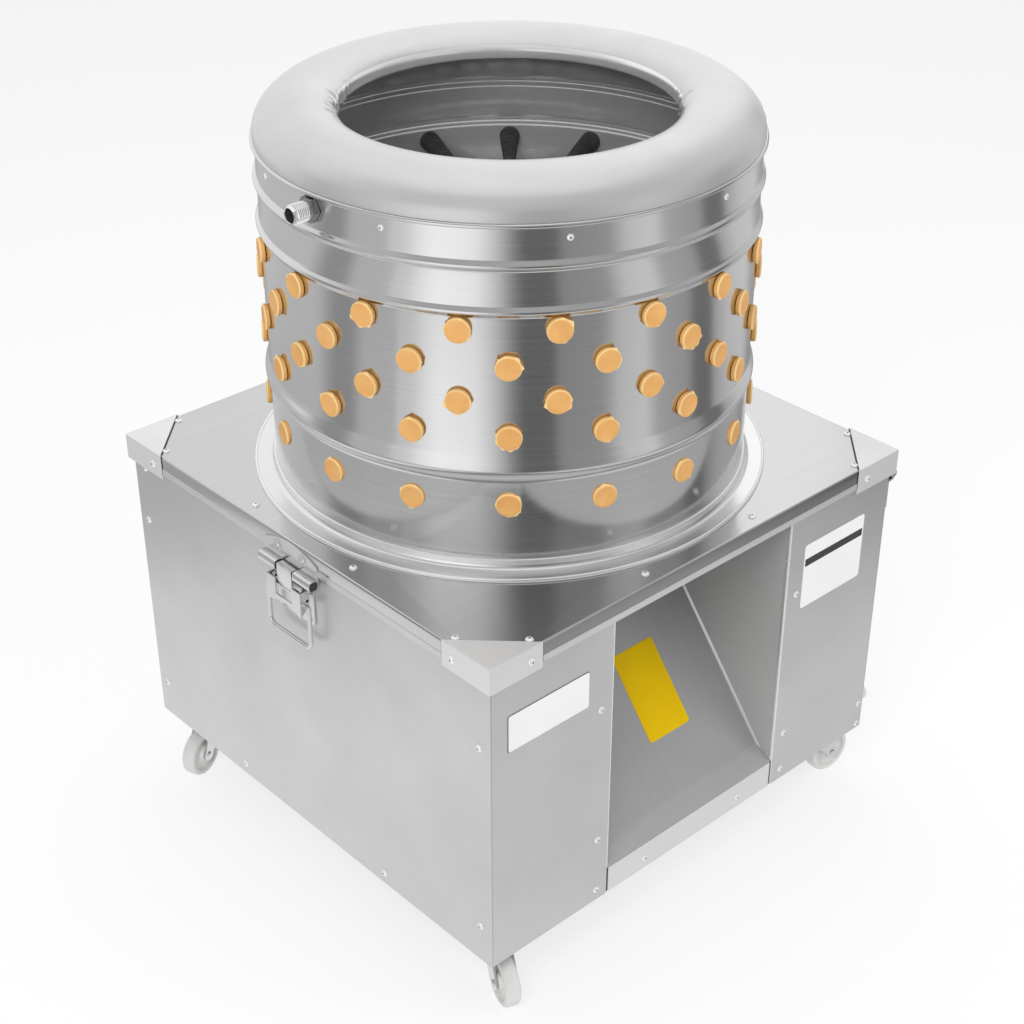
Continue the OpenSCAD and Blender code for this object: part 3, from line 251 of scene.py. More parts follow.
# %% Other finishes
def moulded(name, colour, rough, lumps=180.0, lift=0.10, shift=0.08, sheen=0.5):
    made, tree, surface = new_material(name, "Specular IOR Level", sheen)
    fine, slow = lumpy(tree, lumps), lumpy(tree, 24.0, 3.0)
    dark, light = ([min(1.0, c * (1 + way * shift)) for c in colour] + [1.0] for way in (-1, 1))
    tone = blend(tree, remap(tree, slow), dark, light)
    relief(tree, surface, tone, remap(tree, fine, rough - 0.06, rough + 0.06), fine, lift, 0.001)
    return made


# Each moulding: its colour, its roughness, and where they differ its lumps, lift, shift and sheen
mouldings = {
    "motor_paint": ((0.06, 0.14, 0.24), 0.38, 300.0, 0.12),
    "belt_rubber": ((0.02, 0.02, 0.02), 0.62),
    "black_plastic": ((0.025, 0.025, 0.027), 0.42, 400.0),
    "green_plastic": ((0.03, 0.32, 0.09), 0.32, 400.0, 0.03),
    "red_plastic": ((0.55, 0.03, 0.02), 0.32, 400.0, 0.03),
    "pale_plastic": ((0.72, 0.72, 0.70), 0.40, 400.0, 0.05),
    "wheel_plastic": ((0.68, 0.68, 0.66), 0.45, 260.0, 0.06),
    "head_rim_rubber": ((0.86, 0.60, 0.27), 0.5, 260.0, 0.12),
    "white_card": ((0.86, 0.86, 0.85), 0.35, 500.0, 0.02, 0.02),
    "dark_card": ((0.03, 0.03, 0.03), 0.45, 500.0, 0.02, 0.02),
    "yellow_card": ((0.84, 0.54, 0.0), 0.55, 500.0, 0.03, 0.03, 0.15),
}
finish.update((name, moulded(name, *values)) for name, values in mouldings.items())
print("finishes in all:", len(finish))

# %% [markdown]
# ## Rubber fingers' colour
# The heads outside are orange. Their bodies, which stand inside the drum, are coloured a dark
# grey, so the colour turns with the distance from the drum's axis.


# %% Finger rubber
def finger_rubber():
    made, tree, surface = new_material("finger_rubber", "Specular IOR Level", 0.4)
    flat = add(tree, "VectorMath", {0: object_place(tree), 1: (1, 1, 0)}, operation="MULTIPLY")
    away = add(tree, "VectorMath", {0: flat.outputs["Vector"]}, operation="LENGTH")
    fine, slow = lumpy(tree, 260.0), remap(tree, lumpy(tree, 45.0, 3.0))
    outer_orange = blend(tree, slow, (0.71, 0.36, 0.105, 1), (0.79, 0.43, 0.145, 1))
    inner_dark = blend(tree, slow, (0.035, 0.034, 0.033, 1), (0.075, 0.07, 0.065, 1))
    outside = remap(tree, away.outputs["Value"], 0.0, 1.0, 0.2690, 0.2698)
    relief(tree, surface, blend(tree, outside, inner_dark, outer_orange), remap(tree, fine, 0.45, 0.60),
           fine, 0.12, 0.001)
    return made


finish["finger_rubber"] = finger_rubber()
print("finger rubber ready")

# %% [markdown]
# ## Dressing the frame's own nodes
# The record says which slot each node takes its finish from. A node whose shape is right as it
# is keeps its mesh and only gets the material. The chute's two sheets have finishes of their own.

# %% Materials on the nodes
slot_of = {entry["node"]: entry["material_slot"] for entry in frame["record"]["subparts"]}
# The slope takes a darker steel than the walls, a painted shade on the slope.
own_finish = {"chute_floor": "shaded_slope_steel", "chute_walls": "chute_side"}
for name, node in frame["nodes"].items():
    node.data.materials.clear()
    node.data.materials.append(finish[own_finish.get(name, slot_of[name])])
print("dressed", len(slot_of), "nodes")

# %% [markdown]
# ## Mesh helpers
# A turned or rolled piece is a short chain of points swept round an axis. `lathe` does that with
# the spin operator, merges what meets at the seam or on the axis, and turns all faces outwards.
# `stamp` copies a finished small mesh into a larger one at a place, which is how one finger
# becomes a row. `piece` makes the object, gives it its slot and lets it ride on its body.


# %% Points and places
def arc(cx, cy, rx, ry, angles):
    """Points on an ellipse at the given angles."""
    return [(cx + rx * cos(t), cy + ry * sin(t)) for t in map(radians, angles)]


def spread(start, end, count):
    return [start + (end - start) * k / count for k in range(count + 1)]


def oblong(x0, x1, y0, y1):
    return [(x0, y0), (x1, y0), (x1, y1), (x0, y1)]


def turned(angle, axis="Z"):
    return Matrix.Rotation(radians(angle), 4, axis)


def moved(x, y, z):
    return Matrix.Translation((x * MM, y * MM, z * MM))


def polar(at):
    """The direction in degrees and the distance of a place, seen along the Z axis."""
    return degrees(atan2(at.y, at.x)), hypot(at.x, at.y)


def middle(face):
    """A face's middle in millimetres."""
    return face.calc_center_median() / MM


def radius_of(face):
    return polar(middle(face))[1]


# %% Meshes and pieces
def chain(bm, points, closed=False):
    """Joins points, given in millimetres, by edges."""
    verts = [bm.verts.new([c * MM for c in p]) for p in points]
    pairs = list(zip(verts, verts[1:])) + ([(verts[-1], verts[0])] if closed else [])
    return verts, [bm.edges.new(pair) for pair in pairs]


def outwards(bm):
    ops.recalc_face_normals(bm, faces=bm.faces)


def tidy(bm):
    ops.remove_doubles(bm, verts=bm.verts, dist=1e-6)
    outwards(bm)


def spin(bm, geom, angle, steps, **more):
    ops.spin(bm, geom=geom, cent=(0, 0, 0), axis=(0, 0, 1), angle=angle, steps=steps, **more)
    tidy(bm)


def lathe(profile, steps, closed=False):
    """Sweeps (radius, height) points round the Z axis. They are in millimetres."""
    bm = bmesh.new()
    verts, edges = chain(bm, [(r, 0, z) for r, z in profile], closed)
    spin(bm, verts + edges, tau, steps, use_merge=True)
    return bm


def grown(result):
    """The vertices that an extrusion has made."""
    return [g for g in result["geom"] if isinstance(g, bmesh.types.BMVert)]


def soften(bm, edges, radius, segments, **more):
    ops.bevel(bm, geom=edges, offset=radius * MM, segments=segments,
              affect="EDGES", profile=0.5, material=-1, **more)


def mesh_of(bm, name="part"):
    made = bpy.data.meshes.new(name)
    bm.to_mesh(made)
    bm.free()
    return made


def stamp(target, part, matrix):
    start = len(target.verts)
    target.from_mesh(part if isinstance(part, bpy.types.Mesh) else mesh_of(part))
    target.verts.ensure_lookup_table()
    fresh = target.verts[start:]
    ops.transform(target, matrix=matrix, verts=fresh)
    return fresh


def paint_faces(bm, test):
    """Gives the faces that pass a test the piece's second material."""
    for face in bm.faces:
        if test(face):
            face.material_index = 1


def piece(bm, name, slot, body, stands_for=(), crease=35, dress=None, wall=0, flat=False):
    mesh = mesh_of(bm, name)
    if crease:
        mesh.polygons.foreach_set("use_smooth", [True] * len(mesh.polygons))
        mesh.set_sharp_from_angle(angle=radians(crease))
    for finish_name in dress or (slot,):
        mesh.materials.append(finish[finish_name])
    made = link(name, mesh)
    if wall:
        sheet = made.modifiers.new("wall", "SOLIDIFY")
        sheet.thickness, sheet.offset = wall * MM, -1
    if flat:
        made.modifiers.new("even", "WEIGHTED_NORMAL").keep_sharp = True
    if stands_for:
        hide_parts(*stands_for)
    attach(made, body)
    print(f"{name}: {len(mesh.polygons)} faces")
    return made


print("mesh helpers ready")

# %% [markdown]
# ## The drum sheet
# One sheet is rolled into a cylinder, three beads are pressed into it for stiffness, and the
# upper edge is rolled over a wire. A spin of the section gives all of that, with enough steps
# for a polished surface: facets would break its long reflections. The holes for the fingers
# are left out, because heads and roots cover them on both sides.

# %% Drum sheet
drum_r, drum_t, drum_h = 270.0, 1.5, 388.0
foot = plate_mm + drum_h
hem_r, drum_steps = 2.6, 192
beads = ((120.0, 16.0, 5.0), (295.5, 7.0, 4.0), (344.0, 7.0, 4.0))


def drum_outline(z):
    out = drum_r
    for centre, half, rise in beads:
        if abs(z - centre) < half:
            out += rise * (1 + cos(pi * (z - centre) / half)) / 2
    return out


levels = [0.0]
for centre, half, rise in beads:
    levels += spread(centre - half, centre + half, 16)
levels += [drum_h - 6, drum_h - 2]
outer_line = [(drum_outline(z), plate_mm + z) for z in levels]
hem_line = arc(drum_r + hem_r - 0.8, foot - hem_r, hem_r, hem_r, range(-110, 210, 24))
inner_line = [(r - drum_t, z) for r, z in reversed(outer_line)]
drum_bm = lathe(outer_line[:-1] + hem_line + inner_line, drum_steps, closed=True)
# The inner faces take the brighter steel, painted light on the drum's shaded inside.
paint_faces(drum_bm, lambda face: face.normal.xy.dot(middle(face).xy) < 0)
piece(drum_bm, "drum_sheet", "polished_steel", "lid", ["drum_shell"],
      dress=("polished_steel", "lit_drum_inside"))

# %% [markdown]
# ## The flanged ring
# A light angle ring is welded round the drum's foot and bolted to the lid. Its edge is rolled.
# The rolled edge and the weld at the drum take a brighter steel than the flat between them: a
# painted highlight on the roll, and on the weld partly its own shine.

# %% Ring at the drum's foot
ring_line = [(drum_r + 0.1, 0.0), (ring_mm, 0.0)]
ring_line += arc(ring_mm - 1.6, 1.9, 1.6, 1.6, range(-60, 200, 26))
ring_line += arc(drum_r + 8.1, 8, 6, 6, range(270, 179, -15))
ring_line += [(drum_r + 2.1, 12.6), (drum_r + 1.5, 13.0), (drum_r + 0.1, 13.0)]
ring_bm = lathe([(r, z + plate_mm) for r, z in ring_line], drum_steps, closed=True)
paint_faces(ring_bm, lambda face: not drum_r + 2.4 < radius_of(face) < ring_mm - 2.6)
piece(ring_bm, "foot_ring", "bright_sheet", "lid", ["drum_ring"],
      dress=("ring_steel", "weld_and_highlight"))

# %% [markdown]
# ## The cover
# The cover is a spun half torus that keeps birds in and hands out. Spinning leaves it satin,
# and the metal gathers into fine crimps where the mouth's lip was turned under by hand.

# %% Rolled cover
cover_x, _, cover_z = corner_mm("top_cover")
mouth_r, lip_drop, crest_rise, brim_mm = 182.0, 20.0, cover_z - foot, cover_x - 2.2
crest_r = (brim_mm + mouth_r) / 2 - 3
cover_t, skirt, cover_steps = 1.5, 3.0, 400
lip_r, lip_z = 2.2, foot + crest_rise - lip_drop - 6
crimp_out, crimp_down = 3.2 * MM, 4.5 * MM


def cover_curve(inset):
    over = arc(crest_r, foot + skirt, brim_mm - crest_r - inset, crest_rise - skirt - inset,
               spread(0, 90, 22))
    return over + arc(crest_r, foot + crest_rise - lip_drop,
                      crest_r - mouth_r - inset, lip_drop - inset, spread(90, 180, 14))[1:]


lip_roll = arc(mouth_r + 1.6, lip_z, -lip_r, -lip_r, range(-10, 200, 30))
cover_line = [(brim_mm, foot + 0.3)] + cover_curve(0) + lip_roll
cover_line += cover_curve(cover_t)[::-1] + [(brim_mm - cover_t, foot + 0.3)]
cover_bm = lathe(cover_line, cover_steps, closed=True)


def hump(value, centre, half):
    """One at the centre, falling to nothing at half away from it."""
    return max(0.0, 1 - abs(value - centre) / half)


def crimp(at):
    """How strongly the metal is gathered at a place on the cover."""
    turn, away = polar(at / MM)
    turn %= 360
    at_lip = hump(away, mouth_r, 15) * max(1.6 * hump(turn, 152, 42), hump(turn, 318, 16))
    return at_lip + 0.6 * hump(away, brim_mm, 9) * hump(turn, 322, 13)


for vert in cover_bm.verts:
    push = crimp(vert.co)
    if push > 0:
        out = Vector((vert.co.x, vert.co.y, 0)).normalized()
        along_lip = out * mouth_r * MM + Vector((0, 0, vert.co.z * 0.25))
        wave = noise.noise(along_lip * 150) + 0.9 * noise.noise(along_lip * 380)
        vert.co += out * wave * push * crimp_out - Vector((0, 0, abs(wave) * push * crimp_down))
# The lip's roll takes the bright steel, a painted highlight round the mouth.
paint_faces(cover_bm, lambda face: radius_of(face) < mouth_r + lip_r)
piece(cover_bm, "rolled_cover", "bright_sheet", "lid", ["top_cover"],
      dress=("spun_cover", "weld_and_highlight"), crease=50)

# %% [markdown]
# ## The lid plate
# The plate is one sheet with its four edges folded down. A fold has a small radius that draws a
# bright line along the whole edge, so the folds are bevelled rather than left sharp.

# %% Lid plate
plate_t, rim_drop, hole_r, fold_r = 2.0, 24.0, drum_r - 8, 2.6
plate_bm = bmesh.new()
chain(plate_bm, [(x, y, plate_mm) for x, y in oblong(-rim_mm, rim_mm, -rim_mm, rim_mm)],
      closed=True)
ops.create_circle(plate_bm, radius=hole_r * MM, segments=96, matrix=moved(0, 0, plate_mm))
ops.triangle_fill(plate_bm, edges=plate_bm.edges[:], use_beauty=True)
square_edges = [
    e for e in plate_bm.edges
    if e.is_boundary and all(max(abs(v.co.x), abs(v.co.y)) > rim_mm * MM - 1e-6 for v in e.verts)
]
pulled = ops.extrude_edge_only(plate_bm, edges=square_edges)
ops.translate(plate_bm, vec=(0, 0, -rim_drop * MM), verts=grown(pulled))
tidy(plate_bm)
soften(plate_bm, [e for e in plate_bm.edges if not e.is_boundary and e.calc_face_angle(0) > 1.2],
       fold_r, 4)
outwards(plate_bm)
# The rim's face towards -Y takes the dark steel, a painted dark reflection.
paint_faces(plate_bm, lambda face: face.normal.y < -0.9)
piece(plate_bm, "lid_plate", "polished_steel", "lid", ["top_plate"],
      dress=("lid_steel", "rim_painted_shade"), wall=plate_t, flat=True)

# %% [markdown]
# ## Rubber fingers
# Each finger is moulded in one piece: a thick head outside, a neck that snaps into the sheet's
# hole, a root flange inside and a ribbed body that tapers to its tip. The mould leaves thin
# nibs of flash at the head's edge, and every head has them at other places.

# %% One finger
finger_len, head_r, head_t, neck_r, root_r, root_t, tip_r = 95.0, 13.6, 6.0, 9.8, 12.0, 5.0, 7.0
rib_count, finger_steps = 7, 40
rib_shape = ((0.0, 0.0), (0.5, 0.9), (0.72, 1.3), (0.9, 0.6))


def finger_mesh(neck):
    line = [
        (0, head_t - 0.5), (head_r * 0.55, head_t - 0.5), (head_r * 0.72, head_t - 0.15),
        (head_r - 2.4, head_t), (head_r - 1.1, head_t - 0.25), (head_r - 0.35, head_t - 0.9),
        (head_r, head_t - 1.9), (head_r, 0.7), (head_r - 0.6, 0), (neck_r, 0), (neck_r, -neck),
        (root_r, -neck), (root_r, -neck - root_t),
    ]
    rib = (finger_len - neck - root_t - 9) / rib_count
    for i in range(rib_count):
        for s, dip in rib_shape:
            taper = (root_r - tip_r) * (i + s) / rib_count
            line.append((root_r - dip - taper, -neck - root_t - (i + s) * rib))
    line += [
        (tip_r, -finger_len + 5), (tip_r * 0.86, -finger_len + 2.4),
        (tip_r * 0.5, -finger_len + 0.5), (0, -finger_len),
    ]
    finger = lathe(line, finger_steps)
    # The upper edge of each head takes a lighter orange than its face.
    paint_faces(finger, lambda face: middle(face).z > head_t - 1.5 and radius_of(face) > head_r - 1)
    return mesh_of(finger)


chance = random.Random(11)


def add_flash(verts, matrix):
    """Pulls a few short nibs out of a head's outer edge."""
    inverse = matrix.inverted()
    nibs = [
        (chance.uniform(0, 360), chance.uniform(9, 24), chance.uniform(0.6, 3.0))
        for _ in range(chance.choice((2, 3, 4, 5)))
    ]
    for vert in verts:
        at = inverse @ vert.co / MM
        turn, away = polar(at)
        if 1.5 < at.z < head_t - 0.5 and away > head_r - 0.5:
            for centre, width, reach in nibs:
                off = abs((turn - centre + 180) % 360 - 180)
                if off < width:
                    far = 1 + reach * (1 - off / width) / away
                    vert.co = matrix @ (Vector((at.x * far, at.y * far, at.z)) * MM)


print("a finger has", len(finger_mesh(2).polygons), "faces")

# %% Rows of fingers on the drum
# Row one is the highest. Row five is the lowest, and is kept out of the lid's mirror image.
row_count, row_phase, row_low, row_pitch, head_seat = 17, 227.3, 81.0, 39.0, 0.1
rows = (("five", 0, 0.0), ("four", 2, 0.0), ("three", 3, 0.5), ("two", 4, 0.0), ("one", 5, 0.5))
drum_in_r = drum_r - drum_t
root_seat = drum_in_r - sqrt(drum_in_r ** 2 - root_r ** 2) + 0.05
drum_finger = finger_mesh(drum_t + head_seat + root_seat)
for row_name, step, shift in rows:
    row_bm = bmesh.new()
    for i in range(row_count):
        turn = row_phase + (i + shift) * 360 / row_count + chance.uniform(-0.15, 0.15)
        place = turned(turn) @ moved(drum_r + head_seat, 0, plate_mm + row_low + step * row_pitch)
        place = place @ turned(90, "Y") @ turned(chance.uniform(0, 360))
        add_flash(stamp(row_bm, drum_finger, place), place)
    row = piece(row_bm, "rubber_row_" + row_name, "finger_rubber", "lid",
                ["finger_row_" + row_name], dress=("finger_rubber", "head_rim_rubber"), crease=40)
    row.visible_glossy = row_name != "five"

# %% Fingers on the plate
disc_top, disc_neck, disc_rings = plate_mm + 14, 3.0, ((10, 132.0), (5, 74.0))
plate_finger = finger_mesh(disc_neck)
rotor_bm = bmesh.new()
for count, circle in disc_rings:
    for i in range(count):
        stamp(rotor_bm, plate_finger,
              turned(i * 360 / count) @ moved(circle, 0, disc_top) @ turned(180, "X"))
piece(rotor_bm, "rotor_rubber", "finger_rubber", "rotor", ["plate_fingers"], crease=40)

# %% [markdown]
# ## Bare plates
# Three thin plates with rounded corners are blank: a long one beside the chute, a square one
# with a plain dark band on the right, and a yellow one on the chute's slope.


# %% Bare plates
def card(width, height, depth, corner, matrix):
    made = bmesh.new()
    fresh = ops.create_cube(made, size=1.0)["verts"]
    ops.scale(made, vec=(width * MM, height * MM, depth * MM), verts=fresh)
    upright = [e for e in made.edges if abs(e.verts[0].co.z - e.verts[1].co.z) > depth * MM / 2]
    soften(made, upright, corner, 5)
    ops.transform(made, matrix=matrix, verts=made.verts)
    return made


# Each plate: its sides, its lower and upper edge, depth, corner, distance from the panel and looks
for x0, x1, z0, z1, depth, corner, away, name, look in (
    # The near-black card under the left plate shows round its edge as a painted shadow.
    (-290.7, -175.9, 361.3, 407.6, 0.3, 2.8, 0, "plate_edge_left", "painted_shade"),
    (-290, -176.6, 362, 407, 0.8, 2.5, 0, "blank_plate_left", "white_card"),
    (166.5, 274, 325.5, 412.4, 0.2, 4.5, 0, "plate_edge_right", "hem_steel"),
    (167, 273.5, 326, 412, 0.5, 4, 0, "blank_plate_right", "white_card"),
    (169, 271.5, 383, 393, 0.1, 0.4, 0.5, "blank_plate_band", "dark_card"),
):
    centre = moved((x0 + x1) / 2, front - away - depth / 2, (z0 + z1) / 2)
    plate = card(x1 - x0, z1 - z0, depth, corner, centre @ turned(90, "X"))
    piece(plate, name, None, "base", crease=None, dress=(look,))

# %% [markdown]
# ## Folded sheet
# Sheet metal is cut and folded, so every edge of it has a small radius that catches a line of
# light. `bar` draws a flat outline out to a length and bevels its sharp edges. A weighted normal
# modifier keeps the wide faces flat beside the bevels, which shading would otherwise bend.


# %% A drawn outline with soft edges
def bar(outline, length, soft=0.4, segments=2, where=None):
    """An outline in millimetres, drawn out along Z. Only the edges that pass where are softened."""
    bm = bmesh.new()
    verts, edges = chain(bm, [(u, v, 0) for u, v in outline], closed=True)
    ops.contextual_create(bm, geom=edges)
    pulled = ops.extrude_face_region(bm, geom=bm.faces[:])
    ops.translate(bm, vec=(0, 0, length * MM), verts=grown(pulled))
    tidy(bm)
    sharp = [e for e in bm.edges if e.calc_face_angle(0) > 0.5]
    if where:
        sharp = [e for e in sharp if where((e.verts[0].co + e.verts[1].co) / 2 / MM)]
    soften(bm, sharp, soft, segments, clamp_overlap=True)
    return mesh_of(bm)


def frame_of(first, second, third):
    """The turn that lays the outline's two directions and its length along three given ones."""
    return Matrix((first, second, third)).transposed().to_4x4()


ALONG_X = frame_of((0, 1, 0), (0, 0, 1), (1, 0, 0))
ALONG_Y = frame_of((-1, 0, 0), (0, 0, 1), (0, 1, 0))
TO_LEFT = frame_of((0, 0, 1), (0, 1, 0), (-1, 0, 0))
FLIP_Y = Matrix.Scale(-1, 4, (0, 1, 0))
print("bars can be drawn")

# %% Panels and kick rail
skin_t, fold_back, return_flange, rail_flange = 1.5, 4.4, 20, 24
panel_tall = panel_top - panel_low
chute_edge = -corner_mm("front_panel_left")[0]


def upright_sheet(name, node, outline):
    bm = bmesh.new()
    stamp(bm, bar(outline, panel_tall, 0.6), moved(0, 0, panel_low))
    # The cut edges beside the chute take the brighter zinc finish, a painted highlight.
    paint_faces(bm, lambda face: abs(middle(face).x) < chute_edge + 0.62)
    piece(bm, name, "panel_steel", "base", [node], dress=("panel_steel", "zinc_and_edge_highlight"), flat=True)


inner = face_mm - skin_t
for side, name in ((-1, "left"), (1, "right")):
    upright_sheet(f"side_sheet_{name}", f"{name}_panel",
                  oblong(side * face_mm, side * inner, front, face_mm))
    upright_sheet(f"front_sheet_{name}", f"front_panel_{name}", [
        (side * inner, front), (side * chute_edge, front), (side * chute_edge, front + fold_back),
        (side * (chute_edge + skin_t), front + fold_back), (side * (chute_edge + skin_t), -inner),
        (side * (inner - skin_t), -inner), (side * (inner - skin_t), front + return_flange),
        (side * inner, front + return_flange),
    ])
kick_x, _, kick_z = corner_mm("kick_rail")
kick_bm = bmesh.new()
stamp(kick_bm, bar([
    (front, panel_low), (front, kick_z), (front + rail_flange, kick_z),
    (front + rail_flange, kick_z - skin_t), (-inner, kick_z - skin_t), (-inner, panel_low),
], 2 * kick_x, 0.6), moved(-kick_x, 0, 0) @ ALONG_X)
piece(kick_bm, "kick_sheet", "panel_steel", "base", ["kick_rail"], dress=("satin_cap",), flat=True)

# %% [markdown]
# ## Chute seams
# The chute's slope is welded to its walls, and the ground bead is a thin bright line between two
# sheets of the same grey, partly a painted highlight. Bright strips on the folds beside the opening
# are a painted highlight, near-black strips beside the kick rail are painted shade in its gaps to
# the panels, and a thin apron leads from the rail up to the slope.

# %% Seam beads, gaps and apron
wall_x, _, slope_top_z = corner_mm("chute_floor")
slope_foot_y, slope_foot_z, slope_top_y = -301.5, kick_z + skin_t, -46.0
slope_angle = degrees(atan2(slope_top_z - slope_foot_z, slope_top_y - slope_foot_y))
slope_len = hypot(slope_top_z - slope_foot_z, slope_top_y - slope_foot_y)
on_slope = moved(0, slope_foot_y, slope_foot_z) @ turned(slope_angle, "X")
seam_section = ((0, 0), (2.4, 0), (1.6, 0.9), (0.7, 1.7), (0, 2.6))
seam_bm, rail_shade_bm, apron_bm = bmesh.new(), bmesh.new(), bmesh.new()
for side in (-1, 1):
    bead = bar([(side * (wall_x - u), v) for u, v in seam_section], slope_len, 0.2, 1)
    stamp(seam_bm, bead, on_slope @ turned(-90, "X") @ FLIP_Y)
    # This strip takes the bright steel: a painted highlight along the fold beside the opening.
    fold = bar(oblong(side * 138.9, side * 140.4, -313.3, -309.7), panel_top - kick_z - 4, 0.2, 1)
    stamp(seam_bm, fold, moved(0, 0, kick_z + 1))
    # Each strip is near-black: painted shade in the gap between the kick rail and a panel.
    gap = bar(oblong(side * 137.7, side * 140.4, -312.6, -311), kick_z - panel_low - 2, 0.1, 1)
    stamp(rail_shade_bm, gap, moved(0, 0, panel_low + 1))
apron = [(front + 0.7, kick_z + 0.15), (-290.5, 131.6), (-289.5, 131.8), (-289.5, 131.0),
         (-300, kick_z + 0.15)]
stamp(apron_bm, bar(apron, 2 * wall_x - 0.4, 0.1, 1), moved(0.2 - wall_x, 0, 0) @ ALONG_X)
outwards(seam_bm)
outwards(rail_shade_bm)
piece(seam_bm, "chute_seams", "panel_steel", "base", dress=("weld_and_highlight",), flat=True)
piece(rail_shade_bm, "rail_gap_shade", "panel_steel", "base", dress=("painted_shade",))
piece(apron_bm, "chute_apron", "panel_steel", "base", dress=("apron_steel",), flat=True)
yellow = card(66, 110, 0.5, 4, on_slope @ moved(27.6, 139, 0.25))
blank = piece(yellow, "blank_plate_slope", None, "base", crease=None, dress=("yellow_card",))
blank.visible_glossy = False
print("slope", round(slope_angle, 2), "degrees,", round(slope_len, 1), "mm long")

# %% [markdown]
# ## Rim hem and corner caps
# The lid's rim ends in a flat hem that is paler than the polished face above it. A cap is bent
# over each corner, and a thin near-black strip along its edge is painted shade for the gap there.


# %% Hem and caps
def not_at_corner(at):
    return at.x < 0.1 or at.y < 0.1


def along_slant(at):
    return at.x + at.y > 50


hem_out, hem_high, hem_short = 0.5, 8, 6
cap_mm, cap_leg, cap_t = corner_mm("corner_caps")[0], 72.0, 1.5
cap_down = plate_mm - corner_mm("corner_caps", 0)[2]
hem_strip = [(-rim_mm - hem_out, rim_low_mm), (-rim_mm - hem_out, rim_low_mm + hem_high - 0.5),
             (-rim_mm, rim_low_mm + hem_high), (-rim_mm, rim_low_mm)]
angle_line = [(0, 0), (cap_leg, 0), (cap_leg, cap_t), (cap_t, cap_t), (cap_t, cap_leg),
              (0, cap_leg)]
roof_line = [(0.8, 0.8), (cap_leg, 0.8), (cap_leg - 3, 3.5), (3.5, cap_leg - 3), (0.8, cap_leg)]
slant_gap = [(cap_leg - 3, 3.5), (cap_leg - 1.6, 4.6), (4.6, cap_leg - 1.6), (3.5, cap_leg - 3)]
side_gap = oblong(cap_leg, cap_leg + 1.1, 1.0, 1.6)
hem_bm, cap_bm, cap_shade_bm = bmesh.new(), bmesh.new(), bmesh.new()
for side in range(4):
    strip = bar(hem_strip, 2 * (rim_mm - hem_short), 0.15, 1)
    stamp(hem_bm, strip, turned(90 * side) @ moved(hem_short - rim_mm, 0, 0) @ ALONG_X)
    at_corner = turned(90 * side) @ moved(-cap_mm, -cap_mm, plate_mm)
    skirt_mesh = bar(angle_line, cap_down + cap_t, 0.7, 3, not_at_corner)
    stamp(cap_bm, skirt_mesh, at_corner @ moved(0, 0, -cap_down))
    stamp(cap_bm, bar(roof_line, cap_t - 0.02, 0.3, 2, along_slant), at_corner)
    stamp(cap_shade_bm, bar(slant_gap, 0.35, 0.05, 1), at_corner)
    for end in (Matrix(), turned(90) @ FLIP_Y):
        stamp(cap_shade_bm, bar(side_gap, rim_drop, 0.05, 1), at_corner @ end @ moved(0, 0, -rim_drop))
outwards(cap_shade_bm)
piece(hem_bm, "rim_hem", "bright_sheet", "lid", dress=("hem_steel",), flat=True)
piece(cap_bm, "bent_caps", "bright_sheet", "lid", ["corner_caps"], dress=("satin_cap",), flat=True)
piece(cap_shade_bm, "cap_gap_shade", "bright_sheet", "lid", dress=("painted_shade",))

# %% [markdown]
# ## Screws
# Every screw is a pan head with a cross recess. Its places are read from the frame's own solids:
# each separate solid of a screw node has one flat seat, which gives its middle and its direction.


# %% Screw heads
def screw_head(radius):
    line = [(0, 0.24), (0.17, 0.24), (0.19, 0.55), (0.5, 0.54), (0.72, 0.46), (0.9, 0.3),
            (0.98, 0.14), (1, 0), (0, 0)]
    bm = lathe([(r * radius, z * radius) for r, z in line], 32)
    for vert in bm.verts:
        turn, away = polar(vert.co)
        if 0.1 < away / MM / radius < 0.25:
            vert.co.xy *= 2.35 if abs((turn + 45) % 90 - 45) < 12 else 0.95
    # The recess takes the near-black steel, a painted shade.
    paint_faces(bm, lambda face: middle(face).z < 0.5 * radius and radius_of(face) < 0.42 * radius
                and face.normal.z > -0.5)
    outwards(bm)
    return bm


def loose_parts(bm):
    """The vertices of each separate solid of a mesh."""
    left = dict.fromkeys(bm.verts)
    while left:
        group = [left.popitem()[0]]
        for vert in group:
            for edge in vert.link_edges:
                other = edge.other_vert(vert)
                if other in left:
                    del left[other]
                    group.append(other)
        yield group


def seats(node):
    """The middle, the direction and the radius of each solid's flat seat."""
    bm = bmesh.new()
    bm.from_mesh(frame["nodes"][node].data)
    ops.remove_doubles(bm, verts=bm.verts, dist=1e-5)
    for group in loose_parts(bm):
        area = {}
        for face in dict.fromkeys(f for v in group for f in v.link_faces):
            key = tuple(round(c, 2) for c in face.normal)
            area[key] = area.get(key, 0) + face.calc_area()
        way = Vector(max(area, key=area.get)).normalized()
        low = max(v.co.dot(way) for v in group)
        foot_verts = [v.co for v in group if v.co.dot(way) > low - 1e-5]
        centre = sum(foot_verts, Vector()) / len(foot_verts)
        yield centre, -way, max((co - centre).length for co in foot_verts)
    bm.free()


for screw_node, body in (("panel_screws", "base"), ("lid_screws", "lid")):
    heads = bmesh.new()
    for centre, way, radius in seats(screw_node):
        place = Matrix.Translation(centre) @ way.to_track_quat("Z", "Y").to_matrix().to_4x4()
        stamp(heads, screw_head(radius / MM), place @ turned(chance.uniform(0, 90)))
    piece(heads, screw_node[:-1] + "_heads", "bright_hardware", body, [screw_node],
          dress=("zinc_and_edge_highlight", "painted_shade"), crease=50)

